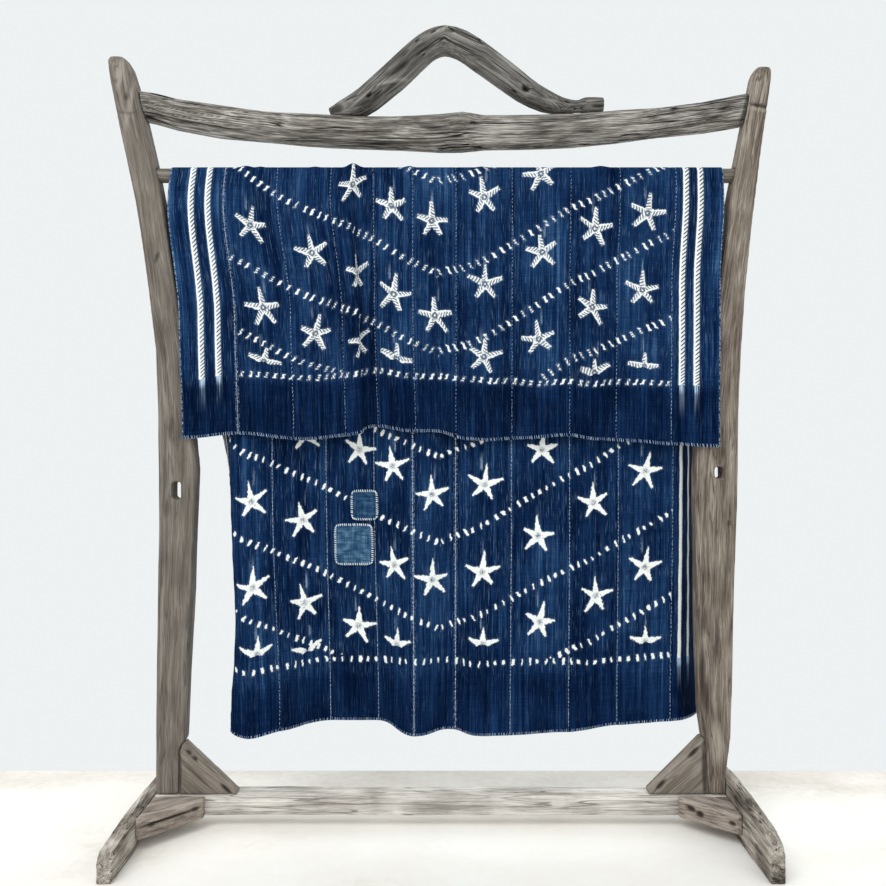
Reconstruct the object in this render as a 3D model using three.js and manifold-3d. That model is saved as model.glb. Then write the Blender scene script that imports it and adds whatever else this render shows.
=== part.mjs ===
// Indigo strip-woven cloth draped over the rod of a weathered wooden stand.
// Millimetres. +X runs right along the rod, +Y runs back and +Z is up.
// The origin lies on the floor, midway between the feet.
import * as THREE from "three";
import { mergeVertices } from "three/addons/utils/BufferGeometryUtils.js";
import Module from "manifold-3d";

const { Manifold, Mesh: SolidMesh } = await initSolids();

// Driving dimensions
const GAP = 0.3;
const SIDES = 16;
const POST_DEPTH = 44;
const ROD_RADIUS = 14.5;
const ROD_HEIGHT = 1319;
const ROD_LEFT = -596;
const ROD_RIGHT = 618;
const FOOT_THICK = 28;
const FOOT_INNER_LEFT = -576.3;
const FOOT_INNER_RIGHT = 579.5;
const STRETCHER_TOP = 62;
const STRETCHER_BOTTOM = 23;
const STRETCHER_FRONT = -28;
const STRETCHER_BACK = 22;
const GUSSET_THICK = 30;
const CLOTH_THICK = 1.8;
const CLOTH_OFF_ROD = 0.6;
const PATCH_THICK = 1.5;
const PATCH_OFF_CLOTH = 0.6;
const FRONT_DROP = 540;
const BACK_DROP = 1128;
const FRONT_ROWS = 12;
const ROD_ROWS = 8;
const BACK_ROWS = 18;
const GRID_STEP_U = 3;
const GRID_STEP_T = 12;

// Posts: each row is a level section, from the foot up to the rounded head
const POST_LEFT = [
  { z: 62.3, outer: -576, inner: -529, depth: POST_DEPTH },
  { z: 150, outer: -575.5, inner: -528, depth: POST_DEPTH },
  { z: 171, outer: -576, inner: -517, depth: POST_DEPTH },
  { z: 294, outer: -575, inner: -512, depth: POST_DEPTH },
  { z: 476, outer: -573, inner: -502, depth: POST_DEPTH },
  { z: 597, outer: -571, inner: -498, depth: POST_DEPTH },
  { z: 718, outer: -571, inner: -493, depth: POST_DEPTH },
  { z: 840, outer: -573, inner: -505, depth: POST_DEPTH },
  { z: 961, outer: -577, inner: -517, depth: POST_DEPTH },
  { z: 1082, outer: -591, inner: -535, depth: POST_DEPTH },
  { z: 1203, outer: -608, inner: -553, depth: POST_DEPTH },
  { z: 1264, outer: -618, inner: -562, depth: POST_DEPTH },
  { z: 1340, outer: -634, inner: -577, depth: POST_DEPTH },
  { z: 1413, outer: -650, inner: -594, depth: POST_DEPTH },
  { z: 1486, outer: -664, inner: -612, depth: POST_DEPTH },
  { z: 1510, outer: -669, inner: -619, depth: 44 },
  { z: 1536, outer: -673, inner: -627, depth: 41 },
  { z: 1551, outer: -674.5, inner: -636, depth: 34 },
  { z: 1560, outer: -671, inner: -648, depth: 22 },
];
const POST_RIGHT = [
  { z: 62.3, outer: 579.2, inner: 544, depth: POST_DEPTH },
  { z: 97, outer: 579.2, inner: 541, depth: POST_DEPTH },
  { z: 173, outer: 589, inner: 534, depth: POST_DEPTH },
  { z: 233, outer: 591.5, inner: 526, depth: POST_DEPTH },
  { z: 294, outer: 593.5, inner: 524, depth: POST_DEPTH },
  { z: 415, outer: 595.5, inner: 520, depth: POST_DEPTH },
  { z: 536, outer: 599.5, inner: 519, depth: POST_DEPTH },
  { z: 658, outer: 603.5, inner: 517, depth: POST_DEPTH },
  { z: 718, outer: 605.5, inner: 517, depth: POST_DEPTH },
  { z: 840, outer: 606, inner: 525, depth: POST_DEPTH },
  { z: 961, outer: 611.5, inner: 540, depth: POST_DEPTH },
  { z: 1082, outer: 619.5, inner: 562, depth: POST_DEPTH },
  { z: 1203, outer: 631.5, inner: 582, depth: POST_DEPTH },
  { z: 1264, outer: 639, inner: 586, depth: POST_DEPTH },
  { z: 1348, outer: 649, inner: 602, depth: POST_DEPTH },
  { z: 1421, outer: 659, inner: 617, depth: POST_DEPTH },
  { z: 1470, outer: 666, inner: 626, depth: POST_DEPTH },
  { z: 1496, outer: 669.5, inner: 631, depth: 44 },
  { z: 1518, outer: 672.5, inner: 635, depth: 40 },
  { z: 1531, outer: 673.5, inner: 640, depth: 33 },
  { z: 1539, outer: 669.5, inner: 648, depth: 20 },
];
const MORTISE_LEFT = { x: -533, z: 677, wide: 18, high: 35 };
const MORTISE_RIGHT = { x: 565, z: 713, wide: 18, high: 24 };

// Top rail: upright sections along X
const RAIL = [
  { x: -640, top: 1495, bottom: 1436, depth: 38 },
  { x: -581, top: 1487, bottom: 1424, depth: 40 },
  { x: -536, top: 1475, bottom: 1412, depth: 44 },
  { x: -447, top: 1461, bottom: 1396, depth: 48 },
  { x: -357, top: 1449, bottom: 1388, depth: 52 },
  { x: -268, top: 1443, bottom: 1380, depth: 54 },
  { x: -179, top: 1439, bottom: 1376, depth: 55 },
  { x: -89, top: 1439, bottom: 1372, depth: 56 },
  { x: 0, top: 1443, bottom: 1368, depth: 58 },
  { x: 45, top: 1448, bottom: 1368, depth: 58 },
  { x: 89, top: 1441, bottom: 1372, depth: 56 },
  { x: 179, top: 1441, bottom: 1374, depth: 55 },
  { x: 268, top: 1443, bottom: 1378, depth: 54 },
  { x: 357, top: 1450, bottom: 1386, depth: 52 },
  { x: 447, top: 1456, bottom: 1398, depth: 48 },
  { x: 536, top: 1468, bottom: 1406, depth: 44 },
  { x: 581, top: 1479, bottom: 1412, depth: 40 },
  { x: 660, top: 1493, bottom: 1426, depth: 38 },
];

// Bent branch: middle line in the plane of the posts, and its width there
const BRANCH = [
  { x: -222, z: 1440, across: 34 },
  { x: -195, z: 1450, across: 46 },
  { x: -161, z: 1466, across: 54 },
  { x: -117, z: 1501, across: 58 },
  { x: -90, z: 1524, across: 59 },
  { x: -45, z: 1567, across: 58 },
  { x: -20, z: 1586, across: 58 },
  { x: 8, z: 1595, across: 59 },
  { x: 45, z: 1586, across: 59 },
  { x: 90, z: 1556, across: 58 },
  { x: 135, z: 1523, across: 55 },
  { x: 180, z: 1490, across: 50 },
  { x: 225, z: 1468, across: 42 },
  { x: 262, z: 1461, across: 29 },
  { x: 284, z: 1461, across: 25 },
  { x: 297, z: 1463, across: 32 },
  { x: 334, z: 1464, across: 30 },
];

// Feet: side outline, run along Y and height
const FOOT_LEFT = [
  { y: -257, z: 0 },
  { y: 257, z: 0 },
  { y: 257, z: 37 },
  { y: 243, z: 52 },
  { y: 120, z: 63 },
  { y: 0, z: 66 },
  { y: -120, z: 63 },
  { y: -243, z: 52 },
  { y: -257, z: 37 },
];
const FOOT_RIGHT = [
  { y: -257, z: 0 },
  { y: 257, z: 0 },
  { y: 257, z: 50 },
  { y: 248, z: 64 },
  { y: 216, z: 77 },
  { y: 100, z: 87 },
  { y: 0, z: 92 },
  { y: -100, z: 87 },
  { y: -216, z: 77 },
  { y: -248, z: 64 },
  { y: -257, z: 50 },
];

// Triangular blocks: upright ones against the posts, level ones against the feet
const GUSSET_LEFT = { corner: -545, toe: -411, blunt: 4, top: 168, topWidth: 26 };
const GUSSET_RIGHT = { corner: 550, toe: 422, blunt: 6, top: 177, topWidth: 20 };
const BRACE_LEFT = { corner: -576, toe: -473, front: -137, blunt: 15, tip: 8 };
const BRACE_RIGHT = { corner: 579.2, toe: 480, front: -116, blunt: 9, tip: 8 };

// Woven strips from left to right: flat width and columns of the solid
const STRIPS = [
  { width: 111, columns: 6 },
  { width: 114, columns: 9 },
  { width: 109, columns: 5 },
  { width: 98, columns: 15 },
  { width: 80, columns: 6 },
  { width: 88, columns: 6 },
  { width: 114, columns: 5 },
  { width: 119, columns: 4 },
  { width: 100, columns: 4 },
  { width: 113, columns: 4 },
  { width: 96, columns: 6 },
];

// The cloth is placed on the rod at this seam, given by its flat distance from the left edge
const ANCHOR = { u: 600, x: 32.4, driftFront: 0, driftBack: -1, swingFront: 8, swingBack: -28 };

// Folds: the cloth turns by this angle in plan, around a flat distance, more and more down the drop.
// A row with an edge keeps its angle from there to that edge of the cloth.
const FRONT_FOLDS = [
  { at: 18, half: 90, turn: -10, from: 0, full: 130 },
  { at: 164, half: 60, turn: 8, from: 100, full: 540 },
  { at: 248, half: 60, turn: -7, from: 100, full: 540 },
  { at: 334, half: 46, turn: 33, from: 0, full: 300 },
  { at: 384, half: 35, turn: -100, from: 0, full: 300 },
  { at: 440, half: 50, turn: 24, from: 0, full: 300 },
  { at: 510, half: 46, turn: -27, from: 150, full: 540 },
  { at: 572, half: 46, turn: 29, from: 150, full: 540 },
  { at: 661, half: 70, turn: -9, from: 60, full: 540 },
  { at: 771, half: 80, turn: 9, from: 60, full: 540 },
  { at: 891, half: 80, turn: -9, from: 60, full: 540 },
  { at: 996, half: 60, turn: 8, from: 60, full: 540 },
  { at: 1114, half: 90, turn: 10, from: 0, full: 130 },
];
const BACK_FOLDS = [
  { at: 145, half: 24, turn: -100, from: 0, full: 1128, edge: -1 },
  { at: 145, half: 24, turn: 100, from: 860, full: 1128, edge: -1 },
  { at: 127, half: 24, turn: -100, from: 860, full: 1128, edge: -1 },
  { at: 246, half: 110, turn: 38, from: 300, full: 1128 },
  { at: 472, half: 55, turn: -34, from: 350, full: 1128 },
  { at: 552, half: 42, turn: 30, from: 350, full: 1128 },
  { at: 625, half: 42, turn: -32, from: 350, full: 1128 },
  { at: 781, half: 70, turn: 8, from: 350, full: 1128 },
  { at: 901, half: 90, turn: 8, from: 350, full: 1128 },
  { at: 996, half: 80, turn: 9, from: 350, full: 1128 },
  { at: 1064, half: 40, turn: 58, from: 0, full: 500, edge: 1 },
  { at: 1064, half: 40, turn: -12, from: 640, full: 1128, edge: 1 },
];

// Tucks that stand up on the rod, take up some of the cloth's width there and open into the folds below
const TUCKS = [
  { at: 155, half: 24, rise: 3, take: 8 },
  { at: 384, half: 30, rise: 8, take: 13 },
];
const TUCK_FADE = 90;
const TUCK_OPEN = 260;

// The right half of the front flap is drawn in sideways by this much, around a flat distance
const DRAWN_IN = { at: 880, half: 180, take: 9, from: 40, full: 230 };

// Hem height over the mean, by flat distance from the left edge
const FRONT_HEM = [
  { at: 0, lift: -2 },
  { at: 111, lift: 8 },
  { at: 248, lift: -4 },
  { at: 337, lift: 4 },
  { at: 432, lift: 26 },
  { at: 503, lift: 16 },
  { at: 557, lift: 16 },
  { at: 625, lift: 0 },
  { at: 660, lift: -2 },
  { at: 736, lift: 2 },
  { at: 829, lift: 8 },
  { at: 890, lift: 0 },
  { at: 976, lift: -4 },
  { at: 1046, lift: -10 },
  { at: 1142, lift: -15 },
];
const BACK_HEM = [
  { at: 0, lift: 4 },
  { at: 122, lift: 4 },
  { at: 162, lift: -5 },
  { at: 225, lift: 5 },
  { at: 334, lift: 15 },
  { at: 432, lift: 15 },
  { at: 512, lift: -9 },
  { at: 586, lift: 0 },
  { at: 645, lift: -8 },
  { at: 833, lift: -2 },
  { at: 933, lift: 9 },
  { at: 1046, lift: 12 },
  { at: 1142, lift: 8 },
];

// Repair patches on the back flap: flat distance from the left edge and drop below the rod
const PATCHES = [
  { name: "patch_small", left: 385, right: 439, top: 652, bottom: 713, columns: 6, rows: 4 },
  { name: "patch_large", left: 350, right: 428, top: 722, bottom: 806, columns: 8, rows: 5 },
];

const WOOD_GREY = new THREE.MeshStandardMaterial({ color: 0x8a7d6e, roughness: 0.9 });
const WOOD_PALE = new THREE.MeshStandardMaterial({ color: 0xa89b88, roughness: 0.92 });
const INDIGO = new THREE.MeshStandardMaterial({ color: 0x172f5c, roughness: 0.95 });
const FADED_INDIGO = new THREE.MeshStandardMaterial({ color: 0x4f6f8f, roughness: 0.95 });

async function initSolids() {
  const module = await Module();
  module.setup();
  return module;
}

function bare(geometry) {
  const copy = geometry.clone();
  copy.deleteAttribute("normal");
  copy.deleteAttribute("uv");
  return mergeVertices(copy, 1e-4);
}

function toSolid(geometry) {
  const merged = bare(geometry);
  return new Manifold(
    new SolidMesh({
      numProp: 3,
      vertProperties: new Float32Array(merged.attributes.position.array),
      triVerts: new Uint32Array(merged.index.array),
    }),
  );
}

function toGeometry(solid) {
  const mesh = solid.getMesh();
  const geometry = new THREE.BufferGeometry();
  geometry.setAttribute("position", new THREE.BufferAttribute(mesh.vertProperties, 3));
  geometry.setIndex(new THREE.BufferAttribute(mesh.triVerts, 1));
  geometry.computeVertexNormals();
  return geometry;
}

function cutAway(geometry, cutters) {
  const solid = cutters.reduce((left, cutter) => left.subtract(toSolid(cutter)), toSolid(geometry));
  return toGeometry(solid);
}

function named(name, geometry, material) {
  const mesh = new THREE.Mesh(geometry, material);
  mesh.name = name;
  return mesh;
}

// Moves each vertex of a geometry to the place that a function gives for it
function moved(geometry, place) {
  const position = geometry.attributes.position;
  const point = new THREE.Vector3();
  for (let i = 0; i < position.count; i += 1) {
    point.fromBufferAttribute(position, i);
    const to = place(point);
    position.setXYZ(i, to.x, to.y, to.z);
  }
  geometry.computeVertexNormals();
  return geometry;
}

// Timber along a middle line in the XZ plane: each section has a middle, a run, a half depth in Y
// and a half width across the run, and its corners are squarer with a larger power
function timber(sections, power) {
  const tube = new THREE.CylinderGeometry(1, 1, 1, SIDES, sections.length - 1);
  const squared = (value) => (Math.abs(value) < 1e-9 ? 0 : Math.sign(value) * Math.abs(value) ** (2 / power));
  return moved(tube, (point) => {
    const section = sections[Math.round((point.y + 0.5) * (sections.length - 1))];
    const across = squared(point.z) * section.halfWidth;
    return new THREE.Vector3(
      section.x - section.runZ * across,
      section.y - squared(point.x) * section.halfDepth,
      section.z + section.runX * across,
    );
  });
}

function postGeometry(rows, grow = 0, depth = 0) {
  const sections = rows.map((row) => ({
    x: (row.outer + row.inner) / 2,
    y: 0,
    z: row.z,
    runX: 0,
    runZ: 1,
    halfDepth: (depth || row.depth) / 2 + grow,
    halfWidth: Math.abs(row.outer - row.inner) / 2 + grow,
  }));
  return timber(sections, depth ? 20 : 7);
}

function railGeometry(grow = 0, depth = 0) {
  const sections = RAIL.map((row) => ({
    x: row.x,
    y: 0,
    z: (row.top + row.bottom) / 2,
    runX: 1,
    runZ: 0,
    halfDepth: (depth || row.depth) / 2,
    halfWidth: (row.top - row.bottom) / 2 + grow,
  }));
  return timber(sections, depth ? 20 : 2.6);
}

function branchGeometry() {
  const line = new THREE.CatmullRomCurve3(BRANCH.map((row) => new THREE.Vector3(row.x, row.across, row.z)));
  const count = 34;
  const sections = [];
  for (let i = 0; i <= count; i += 1) {
    const point = line.getPoint(i / count);
    const run = line.getTangent(i / count);
    run.y = 0;
    run.normalize();
    sections.push({
      x: point.x,
      y: 0,
      z: point.z,
      runX: run.x,
      runZ: run.z,
      halfDepth: point.y / 2,
      halfWidth: point.y / 2,
    });
  }
  return timber(sections, 2.2);
}

function barAlongX(left, right, radius, z) {
  const bar = new THREE.CylinderGeometry(radius, radius, right - left, 24);
  bar.rotateZ(-Math.PI / 2);
  bar.translate((left + right) / 2, 0, z);
  return bar;
}

function mortise({ x, z, wide, high }) {
  const box = new THREE.BoxGeometry(wide, 2 * POST_DEPTH, high);
  box.translate(x, 0, z);
  return box;
}

function footGeometry(outline, inner, outward) {
  const shape = new THREE.Shape(outline.map((row) => new THREE.Vector2(row.y, row.z)));
  const plank = new THREE.ExtrudeGeometry(shape, { depth: FOOT_THICK, bevelEnabled: false });
  const start = outward > 0 ? inner : inner - FOOT_THICK;
  return moved(plank, (point) => new THREE.Vector3(start + point.z, point.x, point.y));
}

function gussetGeometry({ corner, toe, blunt, top, topWidth }) {
  const side = Math.sign(toe - corner);
  const base = STRETCHER_TOP + GAP;
  const outline = [
    [corner, base],
    [toe, base],
    [toe, base + blunt],
    [corner + side * topWidth, top],
    [corner, top],
  ];
  const shape = new THREE.Shape(outline.map(([x, z]) => new THREE.Vector2(x, z)));
  const block = new THREE.ExtrudeGeometry(shape, { depth: GUSSET_THICK, bevelEnabled: false });
  const back = GUSSET_THICK - POST_DEPTH / 2;
  return moved(block, (point) => new THREE.Vector3(point.x, back - point.z, point.y));
}

function braceGeometry({ corner, toe, front, blunt, tip }) {
  const side = Math.sign(toe - corner);
  const back = STRETCHER_FRONT - GAP;
  const outline = [
    [corner, back],
    [corner, front],
    [corner + side * tip, front],
    [toe, back - blunt],
    [toe, back],
  ];
  const shape = new THREE.Shape(outline.map(([x, y]) => new THREE.Vector2(x, y)));
  const block = new THREE.ExtrudeGeometry(shape, {
    depth: STRETCHER_TOP - STRETCHER_BOTTOM,
    bevelEnabled: false,
  });
  block.translate(0, 0, STRETCHER_BOTTOM);
  return block;
}

function stretcherGeometry() {
  const left = FOOT_INNER_LEFT + GAP;
  const right = FOOT_INNER_RIGHT - GAP;
  const beam = new THREE.BoxGeometry(
    right - left,
    STRETCHER_BACK - STRETCHER_FRONT,
    STRETCHER_TOP - STRETCHER_BOTTOM,
  );
  const middleY = (STRETCHER_FRONT + STRETCHER_BACK) / 2;
  const middleZ = (STRETCHER_TOP + STRETCHER_BOTTOM) / 2;
  beam.translate((left + right) / 2, middleY, middleZ);
  return beam;
}

// Cloth: flat distance u from the left edge, and drop t below the rod on either flap
const CLOTH_WIDTH = STRIPS.reduce((sum, strip) => sum + strip.width, 0);
const WRAP_RADIUS = ROD_RADIUS + CLOTH_OFF_ROD + CLOTH_THICK / 2;

function bell(value) {
  return Math.abs(value) < 1 ? 0.5 * (1 + Math.cos(Math.PI * value)) : 0;
}

function easeOut(value) {
  return Math.sin((Math.PI / 2) * Math.min(1, Math.max(0, value)));
}

function easeBoth(value) {
  const share = Math.min(1, Math.max(0, value));
  return share * share * (3 - 2 * share);
}

function growth(fold, t) {
  const share = (t - fold.from) / (fold.full - fold.from);
  return fold.from === 0 ? easeOut(share) : easeBoth(share);
}

function foldShape(fold, u) {
  const place = (u - fold.at) / fold.half;
  return fold.edge ? easeBoth((1 + fold.edge * place) / 2) : bell(place);
}

function planAngle(folds, u, t) {
  const degrees = folds.reduce((sum, fold) => sum + fold.turn * growth(fold, t) * foldShape(fold, u), 0);
  return THREE.MathUtils.degToRad(degrees);
}

function along(rows, u) {
  const next = rows.findIndex((row) => row.at >= u);
  if (next <= 0) {
    return next === 0 ? rows[0].lift : rows[rows.length - 1].lift;
  }
  const share = (u - rows[next - 1].at) / (rows[next].at - rows[next - 1].at);
  return THREE.MathUtils.lerp(rows[next - 1].lift, rows[next].lift, easeBoth(share));
}

function tuckRise(u) {
  return TUCKS.reduce((sum, tuck) => sum + tuck.rise * bell((u - tuck.at) / tuck.half), 0);
}

function tuckTake(u, t) {
  const taken = TUCKS.reduce(
    (sum, tuck) => sum + tuck.take * easeBoth((tuck.at + tuck.half - u) / (2 * tuck.half)),
    0,
  );
  return taken * (1 - easeOut(t / TUCK_OPEN));
}

function frontTake(u, t) {
  const share = (u - DRAWN_IN.at + DRAWN_IN.half) / (2 * DRAWN_IN.half);
  return tuckTake(u, t) - DRAWN_IN.take * growth(DRAWN_IN, t) * easeBoth(share);
}

// Plan curves of a flap at each drop, kept to the cloth's own length along and across
function flapGrid(folds, drop, drift, swing, take) {
  const columns = Math.ceil(CLOTH_WIDTH / GRID_STEP_U);
  const rows = Math.ceil((drop + 30) / GRID_STEP_T);
  const grid = { x: [], out: [], z: [] };
  for (let j = 0; j <= rows; j += 1) {
    const t = j * GRID_STEP_T;
    const x = [0];
    const out = [0];
    for (let i = 0; i < columns; i += 1) {
      const angle = planAngle(folds, (i + 0.5) * GRID_STEP_U, t);
      x.push(x[i] + Math.cos(angle) * GRID_STEP_U);
      out.push(out[i] + Math.sin(angle) * GRID_STEP_U);
    }
    const place = ANCHOR.u / GRID_STEP_U;
    const before = Math.floor(place);
    const anchorX = THREE.MathUtils.lerp(x[before], x[before + 1], place - before);
    const anchorOut = THREE.MathUtils.lerp(out[before], out[before + 1], place - before);
    const shiftX = ANCHOR.x + (drift * t) / drop - anchorX;
    const shiftOut = swing * easeBoth(t / drop) - anchorOut;
    grid.x.push(x.map((value, i) => value + shiftX + take(i * GRID_STEP_U, t)));
    grid.out.push(out.map((value) => value + shiftOut));
    grid.z.push(
      x.map((_, i) => {
        if (j === 0) {
          return ROD_HEIGHT;
        }
        const sideX = grid.x[j][i] - grid.x[j - 1][i];
        const sideOut = grid.out[j][i] - grid.out[j - 1][i];
        const fall = Math.sqrt(Math.max(1, GRID_STEP_T ** 2 - sideX ** 2 - sideOut ** 2));
        return grid.z[j - 1][i] - fall;
      }),
    );
  }
  return grid;
}

function between(table, i, j, shareI, shareJ) {
  const low = THREE.MathUtils.lerp(table[j][i], table[j][i + 1], shareI);
  const high = THREE.MathUtils.lerp(table[j + 1][i], table[j + 1][i + 1], shareI);
  return THREE.MathUtils.lerp(low, high, shareJ);
}

const FRONT_GRID = flapGrid(FRONT_FOLDS, FRONT_DROP, ANCHOR.driftFront, ANCHOR.swingFront, frontTake);
const BACK_GRID = flapGrid(BACK_FOLDS, BACK_DROP, ANCHOR.driftBack, ANCHOR.swingBack, tuckTake);

function flapPoint(grid, side, u, t) {
  const i = Math.min(grid.x[0].length - 2, Math.max(0, Math.floor(u / GRID_STEP_U)));
  const j = Math.min(grid.x.length - 2, Math.max(0, Math.floor(t / GRID_STEP_T)));
  const shareI = u / GRID_STEP_U - i;
  const shareJ = t / GRID_STEP_T - j;
  const tuck = tuckRise(u) * (1 - easeBoth(t / TUCK_FADE));
  const out = between(grid.out, i, j, shareI, shareJ) + tuck;
  const x = between(grid.x, i, j, shareI, shareJ);
  const z = between(grid.z, i, j, shareI, shareJ);
  return new THREE.Vector3(x, side * (WRAP_RADIUS + out), z);
}

function wrapPoint(u, angle) {
  const edge = flapPoint(FRONT_GRID, -1, u, 0);
  const radius = WRAP_RADIUS + tuckRise(u);
  return new THREE.Vector3(edge.x, -radius * Math.cos(angle), ROD_HEIGHT + radius * Math.sin(angle));
}

// Run along the cloth: below -1 the front flap, from -1 to 1 around the rod, above 1 the back flap
function clothPoint(u, run) {
  if (run < -1) {
    return flapPoint(FRONT_GRID, -1, u, -(run + 1) * (FRONT_DROP - along(FRONT_HEM, u)));
  }
  if (run > 1) {
    return flapPoint(BACK_GRID, 1, u, (run - 1) * (BACK_DROP - along(BACK_HEM, u)));
  }
  return wrapPoint(u, (Math.PI / 2) * (run + 1));
}

function clothNormal(u, run) {
  const stepRun = Math.abs(run) > 1 ? 0.004 : 0.02;
  const right = clothPoint(u + 1, run).sub(clothPoint(u - 1, run));
  const forth = clothPoint(u, run + stepRun).sub(clothPoint(u, run - stepRun));
  return right.cross(forth).normalize();
}

function sheetGeometry(columns, rows, uAt, runAt, offsetAt) {
  const slab = new THREE.BoxGeometry(1, 1, 1, columns, rows, 1);
  return moved(slab, (point) => {
    const u = uAt(point.x + 0.5);
    const run = runAt(point.y + 0.5);
    return clothPoint(u, run).addScaledVector(clothNormal(u, run), offsetAt(point.z + 0.5));
  });
}

function stripRun(share) {
  const row = Math.round(share * (FRONT_ROWS + ROD_ROWS + BACK_ROWS));
  if (row < FRONT_ROWS) {
    return -2 + row / FRONT_ROWS;
  }
  if (row <= FRONT_ROWS + ROD_ROWS) {
    return -1 + (2 * (row - FRONT_ROWS)) / ROD_ROWS;
  }
  return 1 + (row - FRONT_ROWS - ROD_ROWS) / BACK_ROWS;
}

const group = new THREE.Group();
group.name = "cloth_on_stand";

// Stand
const postLeft = cutAway(postGeometry(POST_LEFT), [
  barAlongX(ROD_LEFT - GAP, ROD_LEFT + 80, ROD_RADIUS + GAP, ROD_HEIGHT),
  mortise(MORTISE_LEFT),
]);
const postRight = cutAway(postGeometry(POST_RIGHT), [
  barAlongX(ROD_RIGHT - 80, ROD_RIGHT + GAP, ROD_RADIUS + GAP, ROD_HEIGHT),
  mortise(MORTISE_RIGHT),
]);
const besideLeft = postGeometry(POST_LEFT, GAP, 4 * POST_DEPTH);
const besideRight = postGeometry(POST_RIGHT, GAP, 4 * POST_DEPTH);
const beyondLeft = new THREE.BoxGeometry(100, 4 * POST_DEPTH, 300);
beyondLeft.translate(-680, 0, 1450);
const beyondRight = new THREE.BoxGeometry(100, 4 * POST_DEPTH, 300);
beyondRight.translate(690, 0, 1450);
const rail = cutAway(railGeometry(), [besideLeft, beyondLeft, besideRight, beyondRight]);
const branch = cutAway(branchGeometry(), [railGeometry(GAP, 6 * POST_DEPTH)]);

group.add(named("post_left", postLeft, WOOD_GREY));
group.add(named("post_right", postRight, WOOD_GREY));
group.add(named("rail", rail, WOOD_GREY));
group.add(named("handle", branch, WOOD_GREY));
group.add(named("rod", barAlongX(ROD_LEFT, ROD_RIGHT, ROD_RADIUS, ROD_HEIGHT), WOOD_GREY));
group.add(named("stretcher", stretcherGeometry(), WOOD_PALE));
group.add(named("foot_left", footGeometry(FOOT_LEFT, FOOT_INNER_LEFT, -1), WOOD_PALE));
group.add(named("foot_right", footGeometry(FOOT_RIGHT, FOOT_INNER_RIGHT, 1), WOOD_PALE));
group.add(named("gusset_left", cutAway(gussetGeometry(GUSSET_LEFT), [besideLeft]), WOOD_GREY));
group.add(named("gusset_right", cutAway(gussetGeometry(GUSSET_RIGHT), [besideRight]), WOOD_GREY));
group.add(named("brace_left", braceGeometry(BRACE_LEFT), WOOD_PALE));
group.add(named("brace_right", braceGeometry(BRACE_RIGHT), WOOD_PALE));

// Woven strips
STRIPS.forEach((strip, index) => {
  const start = STRIPS.slice(0, index).reduce((sum, row) => sum + row.width, 0);
  const left = start + (index === 0 ? 0 : GAP / 2);
  const right = start + strip.width - (index === STRIPS.length - 1 ? 0 : GAP / 2);
  const geometry = sheetGeometry(
    strip.columns,
    FRONT_ROWS + ROD_ROWS + BACK_ROWS,
    (share) => THREE.MathUtils.lerp(left, right, share),
    stripRun,
    (share) => (share - 0.5) * CLOTH_THICK,
  );
  group.add(named(`strip_${String(index + 1).padStart(2, "0")}`, geometry, INDIGO));
});

// Patches lie on the face of the back flap that looks to the front
PATCHES.forEach((patch) => {
  const inner = -(CLOTH_THICK / 2 + PATCH_OFF_CLOTH);
  const geometry = sheetGeometry(
    patch.columns,
    patch.rows,
    (share) => THREE.MathUtils.lerp(patch.left, patch.right, share),
    (share) => 1 + THREE.MathUtils.lerp(patch.top, patch.bottom, share) / BACK_DROP,
    (share) => inner - (1 - share) * PATCH_THICK,
  );
  group.add(named(patch.name, geometry, FADED_INDIGO));
});

export default group;
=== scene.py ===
"""Indigo strip-woven cloth draped over the rod of a weathered wooden stand.

Sizes and places are in millimetres, in the part's own frame, and become metres when a mesh is made.
Only the places of the lights and the camera, at the end, are in metres.
"""
from collections import namedtuple

import bpy
import numpy as np
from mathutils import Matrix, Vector, noise


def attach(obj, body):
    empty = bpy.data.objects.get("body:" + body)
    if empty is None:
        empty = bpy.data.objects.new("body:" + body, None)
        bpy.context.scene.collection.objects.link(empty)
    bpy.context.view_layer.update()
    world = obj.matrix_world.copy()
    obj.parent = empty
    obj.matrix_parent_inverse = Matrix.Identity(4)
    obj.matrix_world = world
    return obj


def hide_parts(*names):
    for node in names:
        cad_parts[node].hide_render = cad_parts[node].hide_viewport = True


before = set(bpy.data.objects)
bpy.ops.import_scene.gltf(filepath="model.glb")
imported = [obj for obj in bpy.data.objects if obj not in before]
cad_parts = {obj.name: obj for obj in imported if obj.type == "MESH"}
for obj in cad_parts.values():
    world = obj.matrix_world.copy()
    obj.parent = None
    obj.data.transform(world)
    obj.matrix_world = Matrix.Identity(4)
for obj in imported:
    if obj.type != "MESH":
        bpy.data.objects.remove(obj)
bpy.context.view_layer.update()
rng = np.random.default_rng(7)

MM = 0.001

# Cloth, as in the solids
STRIP_WIDTHS = (111, 114, 109, 98, 80, 88, 114, 119, 100, 113, 96)
CLOTH_WIDTH = sum(STRIP_WIDTHS)
STRIP_EDGES = np.concatenate([[0], np.cumsum(STRIP_WIDTHS)])
STRIP_MIDDLES = (STRIP_EDGES[:-1] + STRIP_EDGES[1:]) / 2
ROD_HEIGHT = 1319
WRAP_RADIUS = 16.0
CLOTH_HALF = 0.9
FRONT_DROP = 540
BACK_DROP = 1128
OVER_ROD = np.pi * WRAP_RADIUS
ANCHOR_U = 600
ANCHOR_X = 32.4
GRID_U = 1.5
GRID_T = 4.0
GRID_SPARE = 60

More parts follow.
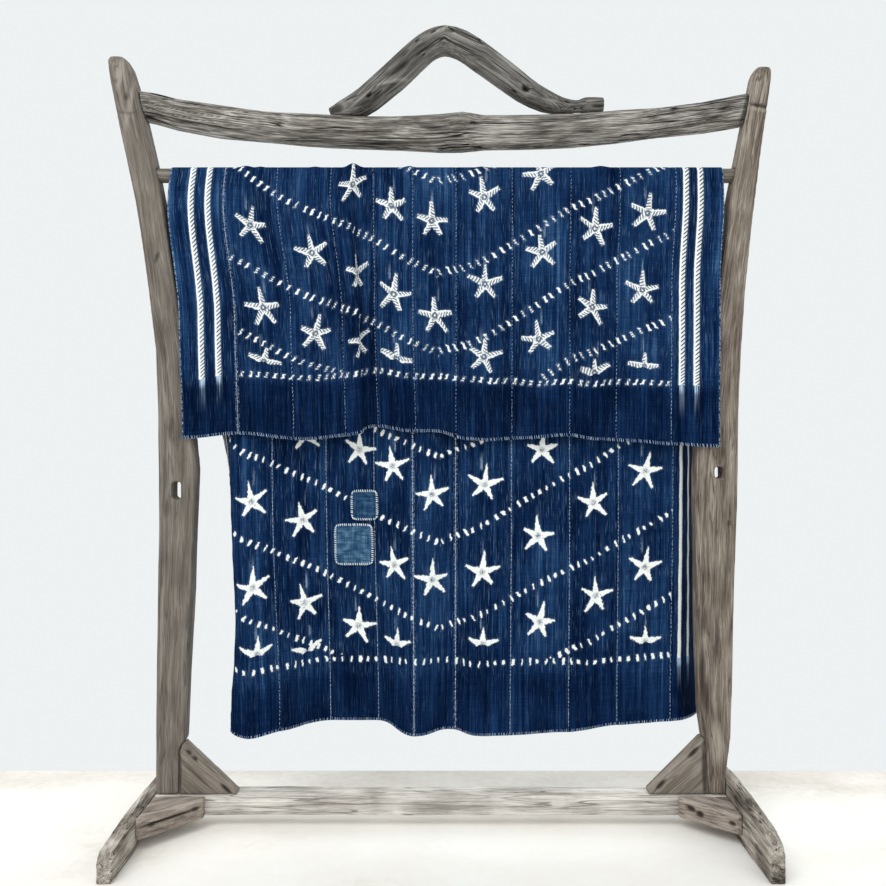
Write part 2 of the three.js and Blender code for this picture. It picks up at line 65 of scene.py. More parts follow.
Fold = namedtuple("Fold", "at half turn start full edge", defaults=(0,))
FRONT_FOLDS = (
    Fold(18, 90, -10, 0, 130),
    Fold(164, 60, 8, 100, 540),
    Fold(248, 60, -7, 100, 540),
    Fold(334, 46, 33, 0, 300),
    Fold(384, 35, -100, 0, 300),
    Fold(440, 50, 24, 0, 300),
    Fold(510, 46, -27, 150, 540),
    Fold(572, 46, 29, 150, 540),
    Fold(661, 70, -9, 60, 540),
    Fold(771, 80, 9, 60, 540),
    Fold(891, 80, -9, 60, 540),
    Fold(996, 60, 8, 60, 540),
    Fold(1114, 90, 10, 0, 130),
)
BACK_FOLDS = (
    Fold(145, 24, -100, 0, 1128, -1),
    Fold(145, 24, 100, 860, 1128, -1),
    Fold(127, 24, -100, 860, 1128, -1),
    Fold(246, 110, 38, 300, 1128),
    Fold(472, 55, -34, 350, 1128),
    Fold(552, 42, 30, 350, 1128),
    Fold(625, 42, -32, 350, 1128),
    Fold(781, 70, 8, 350, 1128),
    Fold(901, 90, 8, 350, 1128),
    Fold(996, 80, 9, 350, 1128),
    Fold(1064, 40, 58, 0, 500, 1),
    Fold(1064, 40, -12, 640, 1128, 1),
)
Tuck = namedtuple("Tuck", "at half rise take")
TUCKS = (Tuck(155, 24, 3, 8), Tuck(384, 30, 8, 13))
TUCK_FADE = 90
TUCK_OPEN = 260
# The right half of the front flap is drawn in sideways by this much, around a flat distance
DrawnIn = namedtuple("DrawnIn", "at half take start full")
DRAWN_IN = DrawnIn(880, 180, 9, 40, 230)
RIPPLES = ((188, 12, 1.6), (300, 14, 1.4), (505, 16, 2.6), (652, 14, 1.6), (895, 22, 2.8))
FRONT_HEM = (
    (0, -2), (111, 8), (248, -4), (337, 4), (432, 26), (503, 16), (557, 16), (625, 0),
    (660, -2), (736, 2), (829, 8), (890, 0), (976, -4), (1046, -10), (1142, -15),
)
BACK_HEM = (
    (0, 4), (122, 4), (162, -5), (225, 5), (334, 15), (432, 15), (512, -9), (586, 0), (645, -8),
    (833, -2), (933, 9), (1046, 12), (1142, 8),
)

# Cloth detail that the mesh adds
COLUMN_STEP = 4.5
ROW_STEP = 6.5
ROD_ROWS = 12
SIDE_INSETS = (0, 0.6, 1.6, 3.4)
HEM_INSETS = (0, 1.2, 2.6, 4.2, 6.5)
SEAM_GAP = 0.3
SIDE_ROUND = 1.6
HEM_ROUND = 1.5
HEM_ROLL = 1.3
HEM_ROLL_AT = 2.6
HEM_ROLL_HALF = 3.6
PUCKER_RISE = 0.7
PUCKER_ACROSS = 9.1
PUCKER_ALONG = 13.7
GATHER_RISE = 0.8
GATHER_ALONG = 3.6
GATHER_REACH = 6
LOOSE_FROM_ROD = 90

# Resist pattern: heights above the hem of each flap
PATTERN_LEFT = 115
PATTERN_RIGHT = 1034
DASH_PITCH = 17.0
FRONT_LINE = 118
BACK_LINE = 137
FRONT_POINT = 560
BACK_POINT = 566
POINT_BLUNT = 0.82
POINT_HALF = 110
LEVEL_CLEAR = 9
LEAST_RISE = 4
LINE_REACH = 16
PATTERN_SPARE = 40
Chevron = namedtuple("Chevron", "point left right")
FRONT_CHEVRONS = (
    Chevron(36, 0.41, 0.47),
    Chevron(163, 0.46, 0.575),
    Chevron(322, 0.56, 0.55),
    Chevron(508, 0.55, 0.55),
)
CHEVRON_PITCH = 175
BACK_CHEVRONS = (
    Chevron(43, 0.52, 0.47),
    Chevron(200, 0.52, 0.5),
    Chevron(374, 0.53, 0.56),
    *(Chevron(374 + k * CHEVRON_PITCH, 0.53, 0.54) for k in range(1, 5)),
)
# Near its foot the front flap's dyed pattern runs this much higher than the uneven hem, fading to nothing
FRONT_RISE = (
    (0, 3), (75, 10), (111, 4), (225, 9), (300, 6), (432, -3), (550, -5), (640, 6),
    (690, 2), (780, -8), (850, -8), (955, 3), (1040, 6), (1070, 12), (1142, 12),
)
FRONT_RISE_TOP = 165
FRONT_RISE_FADE = 45
# The dyed pattern of the back flap runs this much higher than its uneven hem
BACK_RISE = ((0, -8), (432, -12), (510, 12), (589, 4), (711, 9), (838, 5), (885, -4), (1142, 0))
# Stars on each strip, lowest first, and the strips whose lowest star keeps only its upper arms
FRONT_STARS = {
    2: (150, 261, 429),
    3: (214, 377),
    4: (184, 320, 501),
    5: (146, 275, 454),
    6: (236, 428),
    7: (170, 318, 494),
    8: (200, 376, 535),
    9: (138, 268, 428),
    10: (152, 308, 464),
}
FRONT_HALF_STARS = (2, 5, 9, 10)
BACK_STARS = {
    2: (170, 302, 473, 648),
    3: (158, 256, 424, 598),
    4: (205, 565, 740),
    5: (168, 330, 531, 706),
    6: (300, 473, 648),
    7: (176, 321, 497, 672),
    8: (216, 389, 564, 738),
    9: (271, 460, 634),
    10: (168, 320, 516, 690),
}
# Behind the front flap the back's stars go on upwards at one pitch
STAR_PITCH = 174
FURTHER_STARS = {"front": 0, "back": 2}
BACK_HALF_STARS = (2, 3, 5, 7, 10)
# Strips of the back flap whose half star has lost its upper arm too
BACK_CAPPED_STARS = (3,)
# What a star's kind has over its seed, which is below 1, where the star has lost arms
HALF_STAR = 2
CAPPED_STAR = 4
STAR_ARMS = 5
STAR_SHIFT = 5.0
STAR_OFFSETS = {("front", 4): 3, ("back", 2): 17, ("back", 3): 7, ("back", 4): 15}
# White stripes on the two outer strips: flat distances, half width, reach below the level line, lean
STRIPES = {1: (41.5, 75), 11: (1066, 1095)}
STRIPE_HALF = 5.9
STRIPE_BELOW = 8.0
STRIPE_LEAN = {1: 0.011, 11: 0.0}
# Stands for the place of a star or line where none is near
FAR = -9999.0
# How white the sewing of each seam shows on the two flaps
SEAM_WHITE = {
    "front": (0.9, 0.4, 0.35, 0.4, 0.35, 0.3, 0.35, 0.3, 0.4, 0.5),
    "back": (0.3, 0.35, 0.5, 0.5, 0.8, 0.8, 0.55, 0.5, 0.5, 0.5),
}

# Repair patches on the back flap: flat distance from the left edge and drop below the rod
Patch = namedtuple("Patch", "node left right top bottom fade")
PATCHES = (
    Patch("patch_small", 385, 439, 652, 713, 0.15),
    Patch("patch_large", 350, 428, 722, 806, 0.95),
)
PATCH_CORNER = 3.4
PATCH_OFF = 0.6
PATCH_HALF = 0.75
PATCH_STEP = 2.0
PATCH_INSETS = (0, 0.7, 1.8, 3.2)

# Stitches
SEAM_PITCH = 8.0
SEAM_LENGTH = 4.6
SEAM_SLANT = 1.4
SEAM_THREAD = 0.52
SEAM_FROM_HEM = 8
HEM_PITCH = 3.7
HEM_SLANT = 3.4
HEM_THREAD = 0.48
HEM_LOOP_HALF = 3.6
HEM_LOOP_RISE = 2.35
HEM_LOOP_START = 35
HEM_LOOP_TURN = 290
PATCH_PITCH = 4.4
PATCH_THREAD = 1.05
PATCH_REACH_OUT = 1.6
PATCH_REACH = 5.2
PATCH_SKEW = 1.4
THREAD_SIDES = 5
THREAD_FLAT = 0.75


def bell(value):
    return np.where(np.abs(value) < 1, 0.5 + 0.5 * np.cos(np.pi * np.clip(value, -1, 1)), 0.0)


def ease(value):
    share = np.clip(value, 0, 1)
    return share * share * (3 - 2 * share)


def unit(vectors):
    return vectors / np.linalg.norm(vectors, axis=-1, keepdims=True)


def hem_lift(rows, u):
    """Value at flat distance u of a curve that eases from row to row."""
    at = np.array([row[0] for row in rows])
    lift = np.array([row[1] for row in rows])
    k = np.clip(np.searchsorted(at, u) - 1, 0, len(at) - 2)
    return lift[k] + (lift[k + 1] - lift[k]) * ease((u - at[k]) / (at[k + 1] - at[k]))


def tuck_rise(u):
    bumps = [(tuck.at, tuck.half, tuck.rise) for tuck in TUCKS]
    return sum(rise * bell((u - at) / half) for at, half, rise in (*bumps, *RIPPLES))


def tuck_take(u, t):
    """Sideways shift of the cloth left of a tuck, which opens again into the folds below."""
    taken = sum(tuck.take * ease((tuck.at + tuck.half - u) / (2 * tuck.half)) for tuck in TUCKS)
    return taken * (1 - np.sin(np.pi / 2 * np.clip(t / TUCK_OPEN, 0, 1)))


def front_take(u, t):
    """Sideways shift of the front flap: its tucks, and its right half drawn in a little."""
    grown = ease((t - DRAWN_IN.start) / (DRAWN_IN.full - DRAWN_IN.start))
    share = (u - DRAWN_IN.at + DRAWN_IN.half) / (2 * DRAWN_IN.half)
    return tuck_take(u, t) - DRAWN_IN.take * grown * ease(share)


class Flap:
    """One hanging side of the cloth: places by flat distance u from the left edge and drop t."""

    def __init__(self, folds, drop, drift, swing, side, take):
        u = np.arange(0, CLOTH_WIDTH + GRID_U, GRID_U)
        t = np.arange(0, drop + GRID_SPARE, GRID_T)
        middle = (u[:-1] + u[1:]) / 2
        angle = sum(self.turned(fold, middle, t) for fold in folds)
        start = np.zeros((len(t), 1))
        x = np.hstack([start, np.cumsum(np.cos(angle) * GRID_U, axis=1)])
        out = np.hstack([start, np.cumsum(np.sin(angle) * GRID_U, axis=1)])
        place = ANCHOR_U / GRID_U
        before = int(place)
        share = place - before
        x_here = x[:, before] * (1 - share) + x[:, before + 1] * share
        out_here = out[:, before] * (1 - share) + out[:, before + 1] * share
        x += (ANCHOR_X + drift * t / drop - x_here)[:, None]
        out += (swing * ease(t / drop) - out_here)[:, None]
        fall = GRID_T**2 - np.diff(x, axis=0) ** 2 - np.diff(out, axis=0) ** 2
        steps = np.sqrt(np.maximum(1, fall))
        z = ROD_HEIGHT - np.vstack([np.zeros(len(u)), np.cumsum(steps, axis=0)])
        x = x + take(u[None, :], t[:, None])
        tuck = tuck_rise(u)[None, :] * (1 - ease(t / TUCK_FADE))[:, None]
        y = side * (WRAP_RADIUS + out + tuck)
        self.grid = np.stack([x, y, z], axis=-1)

    @staticmethod
    def turned(fold, u, t):
        share = np.clip((t - fold.start) / (fold.full - fold.start), 0, 1)
        growth = np.sin(np.pi / 2 * share) if fold.start == 0 else ease(share)
        place = (u - fold.at) / fold.half
        shape = ease((1 + fold.edge * place) / 2) if fold.edge else bell(place)
        return np.radians(fold.turn) * growth[:, None] * shape[None, :]

    def place(self, u, t):
        rows, columns = self.grid.shape[:2]
        column = np.clip(u / GRID_U, 0, columns - 1.001)
        row = np.clip(t / GRID_T, 0, rows - 1.001)
        i = column.astype(int)
        j = row.astype(int)
        a = (column - i)[..., None]
        b = (row - j)[..., None]
        upper = self.grid[j, i] * (1 - a) + self.grid[j, i + 1] * a
        lower = self.grid[j + 1, i] * (1 - a) + self.grid[j + 1, i + 1] * a
        return upper * (1 - b) + lower * b


FRONT = Flap(FRONT_FOLDS, FRONT_DROP, drift=0, swing=8, side=-1, take=front_take)
BACK = Flap(BACK_FOLDS, BACK_DROP, drift=-1, swing=-28, side=1, take=tuck_take)


def front_drop(u):
    return FRONT_DROP - hem_lift(FRONT_HEM, u)


def cloth_length(u):
    return front_drop(u) + OVER_ROD + BACK_DROP - hem_lift(BACK_HEM, u)


def cloth_middle(u, q):
    """Middle of the cloth's thickness at flat distance u from the left edge and q from the front hem."""
    t_front = front_drop(u) - q
    t_back = -t_front - OVER_ROD
    turn = np.clip(-t_front / WRAP_RADIUS, 0, np.pi)
    radius = WRAP_RADIUS + tuck_rise(u)
    x = u - ANCHOR_U + ANCHOR_X + tuck_take(u, 0)
    over = np.stack([x, -radius * np.cos(turn), ROD_HEIGHT + radius * np.sin(turn)], axis=-1)
    front = FRONT.place(u, np.maximum(t_front, 0))
    back = BACK.place(u, np.maximum(t_back, 0))
    hanging = np.where((t_front > 0)[..., None], front, back)
    return np.where(((t_front > 0) | (t_back > 0))[..., None], hanging, over)


def cloth_surface(u, q):
    """Middle places and outward normals, with the fine puckers of resist stitching and seams."""
    u = np.asarray(u, float)
    q = np.asarray(q, float)
    across = cloth_middle(u + 2, q) - cloth_middle(u - 2, q)
    along = cloth_middle(u, q + 4) - cloth_middle(u, q - 4)
    normal = unit(np.cross(across, along))
    from_rod = np.abs(q - front_drop(u) - OVER_ROD / 2) - OVER_ROD / 2
    loose = ease(from_rod / LOOSE_FROM_ROD)
    wave = np.sin(u / PUCKER_ACROSS + 1.7 * np.sin(q / 31))
    wave = wave * np.sin(q / PUCKER_ALONG + 1.3 * np.sin(u / 23))
    seam = np.min(np.abs(u[..., None] - STRIP_EDGES[1:-1]), axis=-1)
    gather = np.sin(q / GATHER_ALONG + 2 * np.sin(q / 41 + u / 57)) * np.exp(-seam / GATHER_REACH)
    rise = loose * (PUCKER_RISE * wave + GATHER_RISE * gather)
    return cloth_middle(u, q) + normal * rise[..., None], normal


def new_object(name, vertices, faces):
    """A smooth mesh object from places in mm and a list of faces."""
    mesh = bpy.data.meshes.new(name)
    mesh.from_pydata((vertices * MM).tolist(), [], faces)
    mesh.polygons.foreach_set("use_smooth", np.ones(len(mesh.polygons), bool))
    mesh.update()
    obj = bpy.data.objects.new(name, mesh)
    bpy.context.scene.collection.objects.link(obj)
    return obj



def set_attribute(obj, name, domain, values):
    kind = "FLOAT" if np.ndim(values) == 1 else "FLOAT_VECTOR"
    attribute = obj.data.attributes.new(name, kind, domain)
    key = "value" if kind == "FLOAT" else "vector"
    attribute.data.foreach_set(key, np.asarray(values, np.float32).ravel())


def thin_sheet(name, outer, inner):
    """A closed sheet between two grids of places; the outer faces come first, then the inner ones."""
    rows, columns = outer.shape[:2]
    index = np.arange(rows * columns).reshape(rows, columns)
    back = index + rows * columns
    corner = (index[:-1, :-1], index[:-1, 1:], index[1:, 1:], index[1:, :-1])
    outside = np.stack(corner, axis=-1).reshape(-1, 4)
    inside = outside[:, ::-1] + rows * columns
    rim = np.concatenate([index[0, :], index[1:, -1], index[-1, -2::-1], index[-2:0:-1, 0]])
    rim_back = np.concatenate([back[0, :], back[1:, -1], back[-1, -2::-1], back[-2:0:-1, 0]])
    edge = np.stack([np.roll(rim, -1), rim, rim_back, np.roll(rim_back, -1)], axis=-1)
    vertices = np.concatenate([outer.reshape(-1, 3), inner.reshape(-1, 3)])
    faces = np.concatenate([outside, inside, edge]).tolist()
    return new_object(name, vertices, faces), len(outside)


def graded(low, high, step, inset):
    """Places from low to high, about a step apart, with closer ones at both ends."""
    count = max(2, int(round((high - low - 2 * inset[-1]) / step)))
    middle = np.linspace(low + inset[-1], high - inset[-1], count + 1)
    first = low + np.array(inset[:-1])
    last = high - np.array(inset[:-1])[::-1]
    return np.concatenate([first, middle, last])


def pattern_lines(chevrons, level, top, point_u):
    """Dashed lines of a flap as rows of u and height at both ends; chevrons are blunter near their point."""
    lines = [(PATTERN_LEFT, level, PATTERN_RIGHT, level)]
    for chevron in chevrons:
        for end, slope in ((PATTERN_LEFT, chevron.left), (PATTERN_RIGHT, chevron.right)):
            side = np.sign(end - point_u)
            bend = chevron.point + POINT_BLUNT * slope * POINT_HALF
            away = np.array([0, POINT_HALF, abs(end - point_u)])
            height = np.array([chevron.point, bend, bend + slope * (away[2] - POINT_HALF)])
            low = max(chevron.point, level + LEVEL_CLEAR)
            for k in (0, 1):
                bottom = max(low, height[k])
                upper = min(top, height[k + 1])
                if upper > bottom + LEAST_RISE:
                    near, far = np.interp((bottom, upper), height, away)
                    lines.append((point_u + side * near, bottom, point_u + side * far, upper))
    return np.array(lines, float)


def nearest_segment(points, start, end):
    """Index of the segment closest to each point of a plane, the gap, and the place along and beside it."""
    length = np.linalg.norm(end - start, axis=1)
    run = (end - start) / length[:, None]
    off = points[:, None, :] - start[None]
    along = np.clip((off * run[None]).sum(-1), 0, length)
    gap = np.linalg.norm(off - along[..., None] * run[None], axis=-1)
    best = gap.argmin(axis=1)
    row = np.arange(len(points))
    beside = off[row, best, 1] * run[best, 0] - off[row, best, 0] * run[best, 1]
    return best, gap[row, best], along[row, best], beside


def nearest_line(lines, u, s):
    """Start, height and run angle of the closest dashed line, or far away where none is near."""
    start = lines[:, :2]
    run = lines[:, 2:] - start
    best, gap, _, _ = nearest_segment(np.stack([u, s], axis=-1), start, lines[:, 2:])
    angle = np.arctan2(run[:, 1], run[:, 0])
    angle = np.where(np.abs(angle) > np.pi / 2, angle - np.sign(angle) * np.pi, angle)
    height = np.where(gap < LINE_REACH, start[best, 1], FAR)
    return np.stack([start[best, 0], height, angle[best]], axis=-1)



def star_rows(flap, table, halves):
    """Stars of a flap as rows of u, height and kind."""
    rows = []
    for strip, heights in table.items():
        centre = STRIP_MIDDLES[strip - 1] + STAR_OFFSETS.get((flap, strip), 0)
        further = [heights[-1] + (k + 1) * STAR_PITCH for k in range(FURTHER_STARS[flap])]
        for k, height in enumerate([*heights, *further]):
            lost = HALF_STAR if k == 0 and strip in halves else 0
            if lost and flap == "back" and strip in BACK_CAPPED_STARS:
                lost = CAPPED_STAR
            shift = rng.uniform(-STAR_SHIFT, STAR_SHIFT)
            rows.append((centre + shift, height, lost + rng.uniform(0.02, 0.98)))
    return np.array(rows)



LINES = {
    "front": pattern_lines(FRONT_CHEVRONS, FRONT_LINE, FRONT_DROP + PATTERN_SPARE, FRONT_POINT),
    "back": pattern_lines(BACK_CHEVRONS, BACK_LINE, BACK_DROP + PATTERN_SPARE, BACK_POINT),
}
STARS = {
    "front": star_rows("front", FRONT_STARS, FRONT_HALF_STARS),
    "back": star_rows("back", BACK_STARS, BACK_HALF_STARS),
}


def seam_white(strip, to_left, on_front):
    """How white the seam nearest to each face shows; the cloth's own two sides have none."""
    seam = np.where(to_left, strip - 2, strip - 1)
    inside = (seam >= 0) & (seam < len(STRIP_WIDTHS) - 1)
    seam = np.clip(seam, 0, len(STRIP_WIDTHS) - 2)
    white = np.where(on_front, np.array(SEAM_WHITE["front"])[seam], np.array(SEAM_WHITE["back"])[seam])
    return np.where(inside, white, 0.0)


def add_pattern(obj, strip, flat):
    """Puts on each face of a strip where its nearest star, dashed line or stripe and its seam are."""
    count = len(obj.data.polygons)
    corners = np.empty(count * 4, int)
    obj.data.loops.foreach_get("vertex_index", corners)
    u = flat[corners, 0].reshape(count, 4)
    q = flat[corners, 1].reshape(count, 4)
    middle_u = u.mean(axis=1)
    on_front = q.mean(axis=1) < front_drop(middle_u) + OVER_ROD / 2
    front_s = q - hem_lift(FRONT_RISE, u) * ease((FRONT_RISE_TOP - q) / FRONT_RISE_FADE)
    back_s = cloth_length(u) - q - hem_lift(BACK_RISE, u)
    s = np.where(on_front[:, None], front_s, back_s)
    middle_s = s.mean(axis=1)
    low, high = STRIP_EDGES[strip - 1], STRIP_EDGES[strip]
    to_left = middle_u - low < high - middle_u
    from_seam = np.where(to_left[:, None], u - low, high - u)
    star = np.empty((count, 3))
    line = np.empty((count, 3))
    for side, chosen in (("front", on_front), ("back", ~on_front)):
        if strip in STRIPES:
            centres = np.array(STRIPES[strip])
            nearest = np.abs(middle_u[chosen, None] - centres[None]).argmin(axis=1)
            level = FRONT_LINE if side == "front" else BACK_LINE
            same = np.ones(chosen.sum())
            line[chosen] = np.stack([centres[nearest], same * level, same * STRIPE_LEAN[strip]], axis=-1)
            star[chosen] = (FAR, FAR, 0)
            continue
        rows = STARS[side]
        off_u = rows[None, :, 0] - middle_u[chosen, None]
        off_s = rows[None, :, 1] - middle_s[chosen, None]
        star[chosen] = rows[(off_u**2 + off_s**2).argmin(axis=1)]
        line[chosen] = nearest_line(LINES[side], middle_u[chosen], middle_s[chosen])
    mark = np.stack([u, s, from_seam], axis=-1).reshape(-1, 3)
    set_attribute(obj, "mark", "CORNER", mark)
    set_attribute(obj, "star", "FACE", star)
    set_attribute(obj, "line", "FACE", line)
    set_attribute(obj, "sewn", "FACE", seam_white(strip, to_left, on_front))


def strip_rows():
    """Shares of the front drop, of the turn over the rod and of the back drop, as one running row value."""
    front = graded(0, FRONT_DROP, ROW_STEP, HEM_INSETS) / FRONT_DROP
    over = np.linspace(0, 1, ROD_ROWS + 1)[1:-1]
    back = 1 - graded(0, BACK_DROP, ROW_STEP, HEM_INSETS)[::-1] / BACK_DROP
    return np.concatenate([front, 1 + over, 2 + back])


def row_to_length(v, u):
    drop = front_drop(u)
    back = cloth_length(u) - drop - OVER_ROD
    over = drop + np.minimum(v - 1, 1) * OVER_ROD + np.maximum(v - 2, 0) * back
    return np.where(v <= 1, v * drop, over)


def half_thickness(u, q, low, high):
    end = np.minimum(q, cloth_length(u) - q)
    roll = HEM_ROLL * bell((end - HEM_ROLL_AT) / HEM_ROLL_HALF)
    side_round = ease(np.minimum(u - low, high - u) / SIDE_ROUND)
    hem_round = ease(end / HEM_ROUND)
    return (CLOTH_HALF + roll) * (0.35 + 0.65 * side_round) * (0.4 + 0.6 * hem_round)


def make_strip(strip):
    low = STRIP_EDGES[strip - 1] + SEAM_GAP / 2
    high = STRIP_EDGES[strip] - SEAM_GAP / 2
    columns = graded(low, high, COLUMN_STEP, SIDE_INSETS)
    v, u = np.meshgrid(strip_rows(), columns, indexing="ij")
    q = row_to_length(v, u)
    middle, normal = cloth_surface(u, q)
    half = half_thickness(u, q, low, high)[..., None]
    obj, outside = thin_sheet(f"cloth_{strip:02d}", middle + normal * half, middle - normal * half)
    shade = np.full(u.size, rng.uniform(0, 1))
    flat = np.stack([u.ravel(), q.ravel(), shade], axis=-1)
    flat = np.concatenate([flat, flat])
    set_attribute(obj, "flat", "POINT", flat)
    add_pattern(obj, strip, flat)
    side = np.zeros(len(obj.data.polygons), np.int32)
    side[outside : 2 * outside] = 1
    kind = "edge" if strip in STRIPES else "field"
    obj.data.materials.append(CLOTH[kind, "face"])
    obj.data.materials.append(CLOTH[kind, "reverse"])
    obj.data.polygons.foreach_set("material_index", side)
    return obj


def threads(name, centres, normals, radius, material):
    """Stitches as short flattened tubes; centres and normals are rows of points for each stitch."""
    count, points = centres.shape[:2]
    tangent = np.gradient(centres, axis=1)
    across = unit(np.cross(tangent, normals))
    lift = unit(np.cross(across, tangent))
    profile = 0.4 + 0.6 * np.sin(np.linspace(0.15, np.pi - 0.15, points))
    size = np.broadcast_to(radius, count)[:, None, None, None] * profile[None, :, None, None]
    turn = np.linspace(0, 2 * np.pi, THREAD_SIDES, endpoint=False)[None, None, :, None]
    ring = across[:, :, None, :] * np.cos(turn) + THREAD_FLAT * lift[:, :, None, :] * np.sin(turn)
    vertices = (centres[:, :, None, :] + size * ring).reshape(-1, 3)
    index = np.arange(count * points * THREAD_SIDES).reshape(count, points, THREAD_SIDES)
    following = np.roll(index, -1, axis=2)
    sides = np.stack([index[:, :-1], following[:, :-1], following[:, 1:], index[:, 1:]], axis=-1)
    faces = sides.reshape(-1, 4).tolist()
    faces += index[:, 0, ::-1].tolist()
    faces += index[:, -1].tolist()
    obj = new_object(name, vertices, faces)
    obj.data.materials.append(material)
    return obj


def seam_stitches(seam):
    """Running stitches along a seam, by turns on the two faces of the cloth, thin where they hardly show."""
    u_seam = STRIP_EDGES[seam]
    length = float(cloth_length(u_seam))
    at = np.arange(SEAM_FROM_HEM, length - SEAM_FROM_HEM, SEAM_PITCH / 2)
    at = at + rng.uniform(-0.9, 0.9, len(at))
    face = np.where(np.arange(len(at)) % 2 == 0, 1.0, -1.0)
    on_front = at < front_drop(u_seam) + OVER_ROD / 2
    white = np.where(on_front, SEAM_WHITE["front"][seam - 1], SEAM_WHITE["back"][seam - 1])
    share = np.linspace(0, 1, 4)
    slant = SEAM_SLANT * rng.uniform(-0.6, 1.4, len(at))
    long = SEAM_LENGTH * rng.uniform(0.5, 1.35, len(at))
    u = u_seam + (share[None] - 0.5) * slant[:, None] + rng.uniform(-0.5, 0.5, (len(at), 1))
    q = at[:, None] + (share[None] - 0.5) * long[:, None]
    middle, normal = cloth_surface(u, q)
    normal = normal * face[:, None, None]
    lift = CLOTH_HALF - 0.35 + 0.65 * np.sin(np.pi * share)
    return middle + normal * lift[None, :, None], normal, SEAM_THREAD * (0.4 + 0.6 * white)


def hem_stitches(low, high, at_back):
    """Whip stitches around the rolled edge of a hem."""
    u_at = np.arange(low + 3, high - 2, HEM_PITCH)
    u_at = u_at + rng.uniform(-1.6, 1.6, len(u_at))
    share = np.linspace(0, 1, 7)
    turn = np.radians(HEM_LOOP_START + HEM_LOOP_TURN * share)
    u = u_at[:, None] + (share[None] - 0.5) * HEM_SLANT
    end = HEM_ROLL_AT + 0.4 + HEM_LOOP_HALF * np.cos(turn)[None] + np.zeros_like(u)
    q = cloth_length(u) - end if at_back else end
    middle, normal = cloth_surface(u, q)
    centre = middle + normal * (HEM_LOOP_RISE * np.sin(turn))[None, :, None]
    along = unit(cloth_middle(u, q + 2) - cloth_middle(u, q - 2)) * (-1 if at_back else 1)
    outward = normal * np.sin(turn)[None, :, None] + along * np.cos(turn)[None, :, None]
    return centre, outward


def strip_stitches(strip, material):
    low, high = STRIP_EDGES[strip - 1], STRIP_EDGES[strip]
    name = f"stitches_{strip:02d}"
    pieces = []
    for side in ("front", "back"):
        centre, outward = hem_stitches(low, high, side == "back")
        radius = HEM_THREAD * rng.uniform(0.6, 1.2, len(centre))
        pieces.append(threads(f"{name}_hem_{side}", centre, outward, radius, material))
    if strip < len(STRIP_WIDTHS):
        pieces.append(threads(name + "_seam", *seam_stitches(strip), material))
    return pieces


def patch_surface(patch, u, t, lift):
    """A place over the front-facing side of the back flap, and its normal; corners are drawn in."""
    a = (2 * u - patch.left - patch.right) / (patch.right - patch.left)
    b = (2 * t - patch.top - patch.bottom) / (patch.bottom - patch.top)
    pull = PATCH_CORNER * np.minimum((a * b) ** 6, 1)
    u = u - pull * np.sign(a)
    t = t - pull * np.sign(b)
    q = front_drop(u) + OVER_ROD + t * (1 - hem_lift(BACK_HEM, u) / BACK_DROP)
    middle, normal = cloth_surface(u, q)
    return middle - normal * lift[..., None], -normal


def make_patch(patch, material):
    columns = graded(patch.left, patch.right, PATCH_STEP, PATCH_INSETS)
    rows = graded(patch.top, patch.bottom, PATCH_STEP, PATCH_INSETS)
    t, u = np.meshgrid(rows, columns, indexing="ij")
    beside = np.minimum(u - patch.left, patch.right - u)
    edge = np.minimum(beside, np.minimum(t - patch.top, patch.bottom - t))
    wander = 0.9 * np.sin(t / 11 + patch.left) + 0.9 * np.sin(u / 13 + patch.top)
    inward = ease(edge / 12)
    u_real = u + (1 - inward) * 0.8 * np.sin(t / 7)
    t_real = t + (1 - inward) * 0.8 * np.sin(u / 8)
    fold = 0.55 * bell((edge - 3.0) / 4.0)
    base = CLOTH_HALF + PATCH_OFF
    top = base + 2 * PATCH_HALF * (0.45 + 0.55 * ease(edge / 1.4)) + fold + 0.25 * inward * wander
    upper, _ = patch_surface(patch, u_real, t_real, top)
    lower, _ = patch_surface(patch, u_real, t_real, np.full_like(u, base))
    obj, _ = thin_sheet("cloth_" + patch.node, lower, upper)
    flat = np.stack([u.ravel(), t.ravel(), np.full(u.size, patch.fade)], axis=-1)
    set_attribute(obj, "flat", "POINT", np.concatenate([flat, flat]))
    obj.data.materials.append(material)
    return obj


def patch_stitches(patch, material):
    """Overcast stitches that cross the edge of a patch all the way round."""
    across = np.arange(patch.left + 2, patch.right - 1, PATCH_PITCH)
    down = np.arange(patch.top + 2, patch.bottom - 1, PATCH_PITCH)
    starts = [(u, patch.top, 0, 1) for u in across]
    starts += [(u, patch.bottom, 0, -1) for u in across]
    starts += [(patch.left, t, 1, 0) for t in down]
    starts += [(patch.right, t, -1, 0) for t in down]
    start = np.array(starts, float)
    share = np.linspace(0, 1, 6)[None]
    reach = PATCH_REACH * share - PATCH_REACH_OUT
    skew = PATCH_SKEW * share + rng.uniform(-0.7, 0.7, (len(start), 1))
    u = start[:, :1] + start[:, 2:3] * reach + start[:, 3:4] * skew
    t = start[:, 1:2] + start[:, 3:4] * reach + start[:, 2:3] * skew
    over = CLOTH_HALF + 0.1 + (PATCH_OFF + 2 * PATCH_HALF + 1.1) * ease(share * 1.9)
    lift = np.broadcast_to(over, u.shape) - 0.5 * (share > 0.9)
    centre, normal = patch_surface(patch, u, t, lift)
    return threads("stitches_" + patch.node, centre, normal, PATCH_THREAD, material)


# Materials
BUMP_STRENGTH = 0.6
CLOTH_ROUGH = 0.95
CLOTH_SHINE = 0.04
WOOD_ROUGH = 0.84
WOOD_SHINE = 0.25
FLOOR_ROUGH = 0.8
FLOOR_SHINE = 0.3
